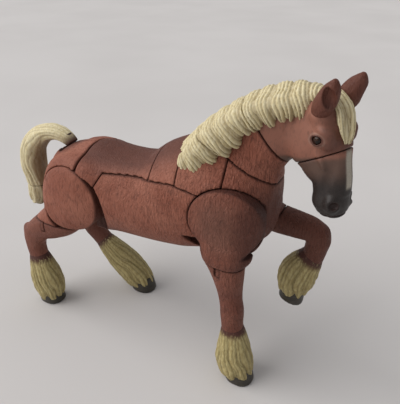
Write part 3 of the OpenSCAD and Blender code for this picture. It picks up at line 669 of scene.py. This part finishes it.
# materials
class Graph:
    """A short way of wiring one principled material in object coordinates measured in millimetres."""

    def __init__(self, name):
        self.mat = bpy.data.materials.new(name)
        self.mat.use_nodes = True
        self.tree = self.mat.node_tree
        self.tree.nodes.clear()
        self.out = self.node("ShaderNodeOutputMaterial")
        self.bsdf = self.node("ShaderNodeBsdfPrincipled")
        self.link(self.bsdf.outputs[0], self.out.inputs[0])
        coord = self.node("ShaderNodeTexCoord")
        self.coord = coord.outputs["Object"]
        MATERIALS[name] = self.mat

    def node(self, kind, **settings):
        n = self.tree.nodes.new(kind)
        for key, value in settings.items():
            setattr(n, key, value)
        return n

    def link(self, a, b):
        self.tree.links.new(a, b)

    def feed(self, value, socket):
        if isinstance(value, bpy.types.NodeSocket):
            self.link(value, socket)
        else:
            socket.default_value = value

    def space(self, x, y=None, z=None, turn=(0, 0, 0)):
        """Object coordinates with x, y, z cells per millimetre, or x of them every way."""
        m = self.node("ShaderNodeMapping")
        self.link(self.coord, m.inputs["Vector"])
        m.inputs["Rotation"].default_value = tuple(np.radians(turn))
        m.inputs["Scale"].default_value = (x * 1000, (y or x) * 1000, (z or x) * 1000)
        return m.outputs[0]

    def noise(self, vector, detail=3.0, rough=0.55, distortion=0.0):
        n = self.node("ShaderNodeTexNoise")
        self.link(vector, n.inputs["Vector"])
        n.inputs["Scale"].default_value = 1.0
        n.inputs["Detail"].default_value = detail
        n.inputs["Roughness"].default_value = rough
        n.inputs["Distortion"].default_value = distortion
        return n.outputs["Fac"]

    def remap(self, value, a, b, lo=0.0, hi=1.0):
        n = self.node("ShaderNodeMapRange", interpolation_type="SMOOTHSTEP")
        for key, v in (("Value", value), ("From Min", a), ("From Max", b), ("To Min", lo), ("To Max", hi)):
            self.feed(v, n.inputs[key])
        return n.outputs[0]

    def math(self, op, a, b=0.0):
        n = self.node("ShaderNodeMath", operation=op, use_clamp=op != "SUBTRACT")
        self.feed(a, n.inputs[0])
        self.feed(b, n.inputs[1])
        return n.outputs[0]

    def mix(self, fac, a, b, blend="MIX"):
        n = self.node("ShaderNodeMix", data_type="RGBA", blend_type=blend)
        self.feed(fac, n.inputs[0])
        self.feed(a if not isinstance(a, tuple) else (*a, 1), n.inputs[6])
        self.feed(b if not isinstance(b, tuple) else (*b, 1), n.inputs[7])
        return n.outputs[2]

    def paint(self):
        n = self.node("ShaderNodeAttribute", attribute_type="GEOMETRY", attribute_name="paint")
        s = self.node("ShaderNodeSeparateColor")
        self.link(n.outputs["Color"], s.inputs[0])
        return s.outputs

    def bump(self, height, distance, strength=1.0, below=None):
        n = self.node("ShaderNodeBump")
        n.inputs["Strength"].default_value = strength
        n.inputs["Distance"].default_value = distance * MM
        self.link(height, n.inputs["Height"])
        if below is not None:
            self.link(below, n.inputs["Normal"])
        return n.outputs[0]

    def finish(self, color, rough, normal=None, **more):
        self.feed(color if not isinstance(color, tuple) else (*color, 1), self.bsdf.inputs["Base Color"])
        self.feed(rough, self.bsdf.inputs["Roughness"])
        if normal is not None:
            self.link(normal, self.bsdf.inputs["Normal"])
        for key, value in more.items():
            self.feed(value, self.bsdf.inputs[key.replace("_", " ")])


CHESTNUT_DARK = (0.070, 0.022, 0.015)
CHESTNUT = (0.262, 0.084, 0.050)
CHESTNUT_PALE = (0.340, 0.126, 0.080)
UMBER = (0.120, 0.068, 0.050)
# dark of the painted shade along seams, also of the dark marks in the face and ear hollows
SHADE_AND_MARK_DARK = (0.034, 0.009, 0.007)
CREAM = (0.66, 0.56, 0.32)
CREAM_PALE = (0.80, 0.72, 0.48)
# dark of the grooves and specks in the flaxen hair, and of its painted shade at the cuts
STRAW_SHADE_AND_MARKS = (0.15, 0.085, 0.030)
STRAW = (0.50, 0.38, 0.16)
TAIL_INNER = (0.13, 0.065, 0.024)
FACE_BROWN = (0.205, 0.112, 0.082)
CHARCOAL, CHARCOAL_PALE = (0.015, 0.011, 0.010), (0.032, 0.024, 0.021)
STRIPE, STRIPE_PALE = (0.33, 0.29, 0.23), (0.46, 0.42, 0.35)
HORN, HORN_PALE = (0.012, 0.011, 0.012), (0.034, 0.031, 0.032)
TAN = (0.36, 0.28, 0.115)
TAN_PALE = (0.50, 0.42, 0.20)
# dark of the grooves in the feathering, and of its painted shade at the cut sole
OLIVE_SHADE_AND_MARKS = (0.085, 0.062, 0.018)


def coat_color(g, hair):
    """Chestnut with broad mottling, paler on the raised hairs and darker in the grooves between them."""
    broad = g.noise(g.space(0.07), 3.0)
    blotch = g.noise(g.space(0.30, 0.30, 0.26), 5.0, 0.62)
    base = g.mix(g.remap(broad, 0.34, 0.66), CHESTNUT, CHESTNUT_PALE)
    base = g.mix(g.math("MULTIPLY", g.remap(blotch, 0.50, 0.76), 0.38), base, CHESTNUT_DARK)
    base = g.mix(g.math("MULTIPLY", g.remap(hair, 0.50, 0.32), 0.42), base, CHESTNUT_DARK)
    return g.mix(g.math("MULTIPLY", g.remap(hair, 0.56, 0.72), 0.30), base, CHESTNUT_PALE)


def coat_material(name, relief):
    """Short combed hair: fine broken grooves, deep on the forehand and nearly rubbed away behind."""
    g = Graph(name)
    shade_and_dark_marks, tone, grey = g.paint()[0:3]
    hair = g.noise(g.space(1.5, 1.5, 0.46, (10, 14, 0)), 3.0, 0.6, 0.9)
    grain = g.noise(g.space(4.5), 2.0)
    base = coat_color(g, hair)
    base = g.mix(g.math("MULTIPLY", grey, 0.45), base, UMBER)
    # tone: painted shade under the belly, down the chest front, at the front of the shoulders and on the far
    # legs; also darker back, dock, lower legs and ears
    base = g.mix(g.math("MULTIPLY", tone, 0.85), base, CHESTNUT_DARK)
    # painted shade along the seams and down their walls; darker in the ear hollows
    base = g.mix(shade_and_dark_marks, base, SHADE_AND_MARK_DARK)
    normal = g.bump(hair, 0.95 * relief)
    normal = g.bump(grain, 0.04, 0.5, normal)
    rough = g.remap(hair, 0.3, 0.7, 0.66, 0.50)
    g.finish(base, rough, normal, Specular_IOR_Level=0.30)


def flaxen_material():
    g = Graph("flaxen")
    shade_and_dark_marks, tone = g.paint()[0:2]
    streak = g.noise(g.space(1.6, 1.6, 0.30, (0, 12, 0)), 3.0, 0.6)
    base = g.mix(g.remap(streak, 0.35, 0.68), CREAM, CREAM_PALE)
    base = g.mix(g.math("MULTIPLY", tone, 0.12), base, STRAW)
    speck = g.remap(g.noise(g.space(0.8), 3.0, 0.7), 0.62, 0.75)
    base = g.mix(g.math("MULTIPLY", speck, 0.30), base, STRAW_SHADE_AND_MARKS)
    # darker in the grooves between strands; painted shade down the walls of the cuts
    base = g.mix(shade_and_dark_marks, base, STRAW_SHADE_AND_MARKS)
    normal = g.bump(streak, 0.16, 0.8)
    g.finish(base, g.remap(streak, 0.3, 0.7, 0.66, 0.5), normal, Specular_IOR_Level=0.35)


def tail_material():
    g = Graph("tail")
    shade_and_dark_marks, inner, region = g.paint()[0:3]
    streak = g.noise(g.space(1.5, 1.5, 0.5), 3.0, 0.6)
    base = g.mix(g.remap(streak, 0.35, 0.68), CREAM, CREAM_PALE)
    # darker in the grooves between strands; painted shade along the cut ends and down their walls
    base = g.mix(g.math("MULTIPLY", shade_and_dark_marks, 0.62), base, STRAW_SHADE_AND_MARKS)
    base = g.mix(g.math("MULTIPLY", inner, 0.80), base, TAIL_INNER)
    base = g.mix(region, CHESTNUT_DARK, base)
    normal = g.bump(streak, 0.16, 0.8)
    g.finish(base, g.remap(streak, 0.3, 0.7, 0.66, 0.52), normal, Specular_IOR_Level=0.35)


def feather_material():
    g = Graph("feather")
    shade_and_dark_marks, start = g.paint()[0:2]
    streak = g.noise(g.space(1.5, 1.5, 0.5, (0, 10, 0)), 3.0, 0.62)
    base = g.mix(g.remap(streak, 0.34, 0.68), TAN, TAN_PALE)
    # darker in the grooves between strands; painted shade along the cut sole and down its walls
    base = g.mix(g.math("MULTIPLY", shade_and_dark_marks, 0.9), base, OLIVE_SHADE_AND_MARKS)
    fade = g.math("ADD", start, g.math("MULTIPLY", g.remap(streak, 0.5, 0.7), 0.35))
    base = g.mix(g.remap(fade, 0.25, 0.9), CHESTNUT_DARK, base)
    normal = g.bump(streak, 0.18, 0.8)
    g.finish(base, g.remap(streak, 0.3, 0.7, 0.68, 0.54), normal, Specular_IOR_Level=0.35)


def face_material():
    """Head and muzzle: chestnut running to charcoal at the nose, with a pale stripe and tan eyelids."""
    g = Graph("face")
    shade_and_dark_marks, smoke, pale = g.paint()[0:3]
    hair = g.noise(g.space(1.3, 1.3, 0.6, (10, -14, 0)), 3.0, 0.6, 0.5)
    grain = g.noise(g.space(5.0), 2.0)
    base = g.mix(0.42, coat_color(g, hair), FACE_BROWN)
    cloud = g.math("MULTIPLY", g.math("SUBTRACT", g.noise(g.space(0.5), 3.0), 0.5), 0.3)
    mottled = g.math("ADD", smoke, cloud)
    grey = g.mix(g.remap(grain, 0.35, 0.65), CHARCOAL, CHARCOAL_PALE)
    base = g.mix(g.remap(mottled, 0.05, 0.50), base, UMBER)
    base = g.mix(g.remap(mottled, 0.35, 0.95), base, grey)
    stripe = g.mix(g.remap(grain, 0.3, 0.7), STRIPE, STRIPE_PALE)
    base = g.mix(pale, base, stripe)
    # painted shade along the seams and down their walls; dark nostrils, mouth slit, lid line and brow
    base = g.mix(shade_and_dark_marks, base, SHADE_AND_MARK_DARK)
    normal = g.bump(hair, 0.10, 0.7)
    normal = g.bump(grain, 0.02, 0.5, normal)
    rough = g.remap(smoke, 0.0, 1.0, 0.55, 0.48)
    g.finish(base, rough, normal, Specular_IOR_Level=0.34)


def horn_material():
    g = Graph("horn")
    rings = g.noise(g.space(0.25, 0.25, 2.4), 3.0, 0.6)
    base = g.mix(g.remap(rings, 0.35, 0.7), HORN, HORN_PALE)
    base = g.mix(g.math("MULTIPLY", g.noise(g.space(0.8), 4.0), 0.12), base, TAN)
    g.finish(base, g.remap(rings, 0.3, 0.7, 0.5, 0.36), g.bump(rings, 0.10, 0.7), Specular_IOR_Level=0.45)


def inner_material():
    g = Graph("inner")
    grain = g.noise(g.space(1.2), 4.0)
    base = g.mix(g.remap(grain, 0.3, 0.7), (0.035, 0.010, 0.008), (0.060, 0.018, 0.013))
    g.finish(base, g.remap(grain, 0.3, 0.7, 0.6, 0.45), g.bump(grain, 0.05, 0.6))


def eye_material():
    g = Graph("eye")
    cloud = g.noise(g.space(1.1), 3.0)
    base = g.mix(g.remap(cloud, 0.40, 0.65), (0.008, 0.004, 0.003), (0.040, 0.016, 0.008))
    g.finish(base, g.remap(cloud, 0.3, 0.7, 0.16, 0.26), g.bump(cloud, 0.01, 0.4), Specular_IOR_Level=0.3)


coat_material("coat", 1.0)
coat_material("coat_smooth", 0.45)
flaxen_material()
tail_material()
feather_material()
face_material()
horn_material()
inner_material()
eye_material()


# the pieces
def side_cut(side, gap=0.08):
    return lambda p: -side * p[:, 1] + gap


def coat_shade_paint(p):
    """Painted shade: darker under the belly, between the legs and down the front of the chest, which faces
    away from the light.
    """
    out = plain(p)
    out[:, 1] = 0.6 * step_up(-p[:, 2], -53.0, -46.0)
    out[:, 1] = np.maximum(out[:, 1], 0.9 * step_up(p[:, 0], 27.0, 36.0) * step_up(-p[:, 2], -82.0, -70.0))
    return out


def back_paint(p):
    """The back and loin are washed darker along the top."""
    out = plain(p)
    out[:, 1] = 0.9 * step_up(-np.abs(p[:, 1]), -14.0, -7.0)
    return out


def shoulder_paint(p):
    """Darker overall, with painted shade growing towards the front of the shoulder, and a greyish wash over
    its middle.
    """
    out = coat_shade_paint(p)
    # painted shade growing towards the front, which faces away from the light
    out[:, 1] = np.maximum(out[:, 1], 0.34 + 0.4 * step_up(p[:, 0], 30.0, 38.0))
    out[:, 2] = step_up(-np.hypot(p[:, 0] - 27.5, 0.8 * (p[:, 2] - 64.5)), -10.0, -3.0)
    return out


def croup_paint(p):
    """A dark dock round the root of the tail."""
    out = plain(p)
    away = np.linalg.norm(p - np.array([-40.5, 0.0, 73.5]), axis=1)
    out[:, 1] = 0.8 * step_up(-away, -8.0, -4.0)
    return out


def torso_pieces():
    """The small number beside each seam is the piece's share of the gap."""
    top = lambda p: 0.12 - barrel_seam(p)
    for side, label in ((-1, "right"), (1, "left")):
        make("barrel_" + label, torso_form,
             [lambda p: p[:, 0] - 26.4, lambda p: CROUP_X + 0.3 - p[:, 0], side_cut(side),
              lambda p: barrel_seam(p) + 0.12, shoulder_room, hip_room, core_room],
             (-29, min(0, side * 20) - 1, 42), (28, max(0, side * 20) + 1, 78), BODY_STEP,
             "torso", ["barrel_" + label], "coat", "coat", coat_shade_paint)
        make("croup_" + label, hind_form,
             [lambda p: p[:, 0] - CROUP_X + 0.4, lambda p: BUTTOCK_Z + 0.1 - p[:, 2], side_cut(side, 0.03),
              hip_room, core_room, tail_seat],
             (-53, min(0, side * 21) - 1, 44), (-27, max(0, side * 21) + 1, 81), BODY_STEP,
             "torso", ["croup_" + label], "coat", "coat_smooth", croup_paint)
    make("saddle_back", torso_form,
         [lambda p: p[:, 0] - SADDLE_FRONT + 0.1, lambda p: SADDLE_REAR + 0.05 - p[:, 0], top],
         (0, -18, 70), (13, 18, 88), BODY_STEP, "torso", ["saddle_back"], "coat", "coat_smooth", back_paint)
    make("loin", torso_form,
         [lambda p: p[:, 0] - SADDLE_REAR + 0.05, lambda p: CROUP_X + 0.3 - p[:, 0],
          top, hip_room, core_room],
         (-29, -18, 62), (3, 18, 82), BODY_STEP, "torso", ["loin"], "coat", "coat_smooth", back_paint)
    make("withers", torso_form,
         [lambda p: SADDLE_FRONT + 0.1 - p[:, 0], lambda p: p[:, 0] - BREAST_X + 0.1, top, below_neck,
          shoulder_room],
         (11, -18, 70), (28, 18, 92), BODY_STEP, "torso", ["withers"], "coat", "coat", plain)
    make("breast", torso_form,
         [lambda p: BREAST_X + 0.1 - p[:, 0], below_neck, shoulder_room, forearm_room, core_room],
         (25.6, -18, 46), (46, 18, 88), BODY_STEP, "torso", ["breast"], "coat", "coat", coat_shade_paint)


def slot_cut(centre, half):
    """A thin groove round the tongue that locks a leg into the piece above."""
    return lambda p: -(np.abs(box(p, centre, half)) - 0.13)


def arm_form(p):
    """The upper arm, which stands out below the shoulder disc."""
    return smin(FORE_RIGHT(p), blob(p, (28.6, -11.9, 55.0), (7.8, 4.8, 6.5)), 1.2)


def arm_bounds(p):
    """The disc, and below it as much of the upper arm as its room lets swing."""
    below = np.maximum.reduce([arm_form(p) - 0.5, p[:, 2] - 55.6 + 0.1 * np.clip(p[:, 0] - 33, 0, 8),
                               disc(p, SHOULDER, 15.1)])
    return smin(disc(p, SHOULDER, SHOULDER_R), below, 1.5)


def leg_skin(label, fore):
    """A lower leg with its joints and muscles."""
    tube = {"right": (FORE_RIGHT, HIND_RIGHT), "left": (FORE_LEFT, HIND_LEFT)}[label][0 if fore else 1]
    bumps = LEG_MUSCLES[label, fore]

    def skin(p):
        f = tube(p)
        for centre, radii, pitch in bumps:
            f = smin(f, blob(p, centre, radii, pitch), 1.5)
        return f
    return skin


def leg_paint(end, tilt, tone):
    """Darker than the body by tone, which on the far legs is painted shade, and darker still down to the
    feathering.
    """
    def paint(p):
        out = plain(p)
        out[:, 1] = np.maximum(tone, 0.85 * step_up(plane(p, end, tilt), -11.0, 0.0))
        return out
    return paint


def lower_leg(label, fore, end, tilt, side, ylo, yhi):
    inner = lambda p: CHEST_HALF + RUN_GAP - side * p[:, 1]
    over_end = lambda p: plane(p, end, tilt)
    if fore and side < 0:
        cuts = [over_end, inner, lambda p: p[:, 2] - ELBOW_Z + 0.12,
                slot_cut((27.7, -16.8, 49.2), (0.8, 1.9, 1.8)),
                lambda p: np.minimum(9.8 + p[:, 1], p[:, 2] - 47.0)]
        lo, hi = (20, ylo, 19), (40, yhi, 52)
    elif fore:
        cuts = [over_end, inner, lambda p: 0.12 - disc(p, SHOULDER, SHOULDER_R), lambda p: p[:, 2] - 66]
        lo, hi = (28, ylo, 39), (58, yhi, 64)
    else:
        cuts = [over_end, lambda p: 0.12 - disc(p, HIP, HIP_R), lambda p: p[:, 2] - BUTTOCK_Z + RUN_GAP]
        if side < 0:
            cuts.append(slot_cut((-46.0, -16.8, 43.5), (0.8, 1.9, 2.1)))
        lo, hi = (-64, ylo, 17), (-26, yhi, 48)
    part, body = ("leg_fore_", "foreleg_") if fore else ("leg_hind_", "hindleg_")
    # painted shade: the far, left legs are painted darker than the near ones
    tone = 0.85 if side > 0 else 0.5
    make(part + label, leg_skin(label, fore), cuts, lo, hi, BODY_STEP, body + label, [body + label],
         "coat", "coat" if fore else "coat_smooth", leg_paint(end, tilt, tone))


def around(tube):
    """The corners of a box that holds a tube."""
    reach = tube.size.max()
    return tube.c.min(0) - reach - 1, tube.c.max(0) + reach + 1


def foot(key, rider):
    """The feathering and the hoof at the end of one leg."""
    skin, paint = feather_fields(key)
    hoof = HOOVES[key]
    grounded = key != "fore_left"
    floor = [lambda p: GROUND_Z + 0.9 - p[:, 2]] if grounded else []
    make("feathering_" + key, skin, floor, *around(FEATHERS[key]), FINE_STEP, rider, ["feather_" + key],
         "feather", "feather", paint, 0.3)
    sole = (lambda p: GROUND_Z - p[:, 2]) if grounded else (lambda p: plane(p, (44.2, 0, 24.4), -104.0))
    make("hoof_" + key, hoof, [sole], *around(hoof), BODY_STEP * 0.8, rider, ["hoof_" + key],
         "horn", "horn", plain, 0.4)


def leg_pieces():
    fore_ends = {"right": ((31.6, 0, 21.2), -90.0), "left": ((49.2, 0, 42.6), -106.0)}
    hind_ends = {"right": ((-56, 0, 21.2), -84.0), "left": ((-40.2, 0, 20.6), -48.0)}
    for label, side in (("right", -1), ("left", 1)):
        ylo, yhi = sorted((side * 6.4, side * 20.0))
        inner = lambda p, s=side: CHEST_HALF + RUN_GAP - s * p[:, 1]
        skin, cuts = fore_form, [lambda p: disc(p, SHOULDER, SHOULDER_R), inner]
        if side < 0:
            skin = lambda p: smin(fore_form(p), arm_form(p), 1.0)
            cuts = [arm_bounds,
                    lambda p: arm_depth(p) + RUN_GAP + p[:, 1], lambda p: ELBOW_Z + 0.03 - p[:, 2]]
        make("shoulder_" + label, skin, cuts, (14, ylo, 49), (41, yhi, 78), BODY_STEP, "foreleg_" + label,
             ["shoulder_" + label], "coat", "coat", shoulder_paint)
        make("thigh_" + label, hind_form, [lambda p: disc(p, HIP, HIP_R), inner],
             (-46, ylo, 44), (-18, yhi, 72), BODY_STEP, "hindleg_" + label, ["thigh_" + label], "coat",
             "coat_smooth", plain)
        lower_leg(label, True, *fore_ends[label], side, ylo, yhi)
        lower_leg(label, False, *hind_ends[label], side, ylo, yhi)
        foot("fore_" + label, "foreleg_" + label)
        foot("hind_" + label, "hindleg_" + label)


def face_paint(p):
    h = to_head(p)
    out = plain(p)
    drop = plane(h, MUZZLE_CUT, -76.0)
    out[:, 1] = 0.45 * step_up(drop, -1.2, 1.5) + 0.55 * step_up(drop, 1.5, 11.0)
    front = step_up(plane(h, (56.6, 0, 90.0), 14.0), -0.2, 1.4)
    length = step_up(drop, -2.5, -0.5) * step_up(-drop, -9.6, -8.2)
    width = step_up(-np.abs(h[:, 1]), -1.5, -0.8)
    out[:, 2] = front * length * width
    m = mirrored(h)
    nostril = blob(m, (60.7, -4.2, 78.2), (0.9, 1.4, 1.2), 30, -30)
    lips = 0.8 * step_up(-mouth_line(m), -0.3, 0.1)
    lids = 0.85 * np.exp(-((almond(m) - 0.25) / 0.45) ** 2) * (m[:, 1] < -4.4)
    brow = 0.50 * step_up(h[:, 0], 53.6, 57.0) * step_up(-drop, 0.0, 2.0)
    out[:, 0] = np.maximum.reduce([step_up(-nostril, -0.4, 0.3), lips, lids, brow])
    rim = 0.22 * np.exp(-((almond(m) - 0.95) / 0.22) ** 2) * (m[:, 1] < -4.4)
    out[:, 2] = np.maximum(out[:, 2], rim)
    return out


def ear_fields(side):
    w, lift = (1.0, 0.0) if side > 0 else (0.88, 0.3)
    tube = Tube([(52.4, side * 4.3, 100.6, 2.2 * w, 2.4 * w), (53.4, side * 4.8, 102.8, 2.9 * w, 3.0 * w),
                 (54.8, side * 5.2, 105.4, 3.0 * w, 3.0 * w),
                 (55.9, side * 5.5, 107.7 + lift, 2.4 * w, 2.3 * w),
                 (56.4, side * 5.7, 109.3 + lift, 1.3 * w, 1.2 * w),
                 (56.5, side * 5.8, 110.1 + lift, 0.4, 0.4)], 2.0)

    def hollow(h):
        return blob(h, (56.9, side * 7.1, 105.2), (1.9 * w, 1.9 * w, 3.6), -24, 0)

    def skin(p):
        h = to_head(p)
        return smax(tube(h), -hollow(h), 0.35)

    def paint(p):
        h = to_head(p)
        out = plain(p)
        out[:, 1] = np.maximum(0.85, step_up(-hollow(h), -0.25, 0.1))
        out[:, 0] = 0.7 * step_up(-hollow(h), -0.25, 0.1) * step_up(-h[:, 2], -107.0, -103.0)
        return out

    return skin, paint


def head_pieces():
    on_muzzle = lambda p: plane(to_head(p), MUZZLE_CUT, MUZZLE_TILT)
    neck_skin = lambda p: smin(trunk_form(p), upper_form(p), 4.0)
    make("neck", neck_skin, [above_neck, behind_head], (14, -13, 72), (44, 13, 103), BODY_STEP,
         "neck", ["neck"], "coat", "coat", plain)
    make("head", upper_form, [beyond_head, lambda p: on_muzzle(p) + 0.1], (30, -16, 82), (63, 12, 108),
         FINE_STEP, "head", ["head"], "coat", "face", face_paint, 0.3)
    make("muzzle", head_form, [lambda p: 0.1 - on_muzzle(p)], (45, -17, 69), (65, 6, 96),
         FINE_STEP, "head", ["muzzle"], "smoke", "face", face_paint, 0.3)
    for side, label in ((-1, "right"), (1, "left")):
        skin, paint = ear_fields(side)
        make("ear_" + label, skin, [], (46, -15, 98), (62, 8, 113), MANE_STEP, "head",
             ["ear_" + label], "coat", "coat_smooth", paint)
    make("forelock", forelock_skin, [], (44, -11, 91), (65, 5, 109), MANE_STEP, "head",
         ["forelock"], "flaxen", "flaxen", forelock_paint)
    for part, body, cuts, lo, hi in (
            ("mane_withers", "torso", [below_neck], (6, -15, 72), (28, 6, 94)),
            ("mane_neck", "neck", [above_neck, behind_head], (10, -15, 76), (42, 6, 108)),
            ("mane_poll", "head", [beyond_head], (25, -13, 86), (55, 6, 110))):
        make(part, mane_skin, cuts, lo, hi, MANE_STEP, body, [part],
             "flaxen", "flaxen", mane_paint, 0.08, 0.0)


def tail_pieces():
    """Each cut counts only at its own end of the tail."""
    off_rump = lambda p: np.where(p[:, 0] > -46, 0.15 - plane(p, TAIL_ROOT, TAIL_TILT), -9.0)
    make("tail_upper", tail_skin, [lambda p: TUFT_Z + 0.1 - p[:, 2] - 99 * (p[:, 0] > -56), off_rump],
         (-69, -7, 49), (-37, 7, 81), FINE_STEP, "tail", ["tail_upper"], "flaxen", "tail", tail_paint, 0.3)
    make("tail_tuft", tail_skin, [lambda p: p[:, 2] - (TUFT_Z - 0.1)], (-72, -7, 38), (-55, 7, 53), FINE_STEP,
         "tail", ["tail_tuft"], "flaxen", "tail", tail_paint, 0.3)


torso_pieces()
leg_pieces()
head_pieces()
tail_pieces()

# the CAD's own hidden pieces and eyes keep their shape and get a finish
for name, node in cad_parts.items():
    if name == "core" or "_pin_" in name or name.endswith("_peg"):
        node.data.materials.clear()
        node.data.materials.append(MATERIALS["inner"])
    if name.startswith("eye_"):
        node.data.materials.clear()
        node.data.materials.append(MATERIALS["eye"])
        for poly in node.data.polygons:
            poly.use_smooth = True


# stage
def stage():
    g = Graph("paper")
    fibre = g.noise(g.space(0.9), 4.0, 0.6)
    cloud = g.noise(g.space(0.006), 2.0)
    base = g.mix(g.remap(cloud, 0.3, 0.7), (0.575, 0.555, 0.545), (0.61, 0.59, 0.58))
    g.finish(base, 0.8, g.bump(fibre, 0.02, 0.4))
    mesh = bpy.data.meshes.new("floor")
    half = 4.0
    corners = [(-half, -half, 0), (half, -half, 0), (half, half, 0), (-half, half, 0)]
    mesh.from_pydata(corners, [], [(0, 1, 2, 3)])
    mesh.materials.append(MATERIALS["paper"])
    floor = bpy.data.objects.new("floor", mesh)
    bpy.context.scene.collection.objects.link(floor)


def sun(name, toward, strength, spread, color):
    """A very soft studio light, even over the whole floor."""
    data = bpy.data.lights.new(name, "SUN")
    data.energy, data.angle, data.color = strength, np.radians(spread), color
    obj = bpy.data.objects.new(name, data)
    obj.rotation_euler = Vector(toward).to_track_quat("-Z", "Y").to_euler()
    bpy.context.scene.collection.objects.link(obj)


def camera():
    azimuth, elevation, distance = np.radians(28.0), np.radians(30.0), 150.0
    aim = np.array([13.0, 0.0, 62.0]) + SHIFT
    back = np.array([np.sin(azimuth) * np.cos(elevation), -np.cos(azimuth) * np.cos(elevation),
                     np.sin(elevation)])
    data = bpy.data.cameras.new("camera")
    data.lens, data.sensor_width, data.clip_start = 40.1, 36.0, 0.01
    obj = bpy.data.objects.new("camera", data)
    obj.location = Vector((aim + back * distance) * MM)
    obj.rotation_euler = Vector(-back).to_track_quat("-Z", "Y").to_euler()
    bpy.context.scene.collection.objects.link(obj)
    bpy.context.scene.camera = obj


stage()
camera()
sun("key", (0.68, 0.40, -0.62), 2.5, 60.0, (1.0, 0.985, 0.97))
sun("top", (0.10, -0.25, -0.95), 0.5, 90.0, (1.0, 1.0, 1.0))
world = bpy.data.worlds.new("world")
world.use_nodes = True
sky = world.node_tree.nodes["Background"]
sky.inputs["Color"].default_value = (0.98, 0.98, 1.0, 1)
sky.inputs["Strength"].default_value = 0.335
bpy.context.scene.world = world
bpy.context.scene.view_settings.view_transform = "Standard"
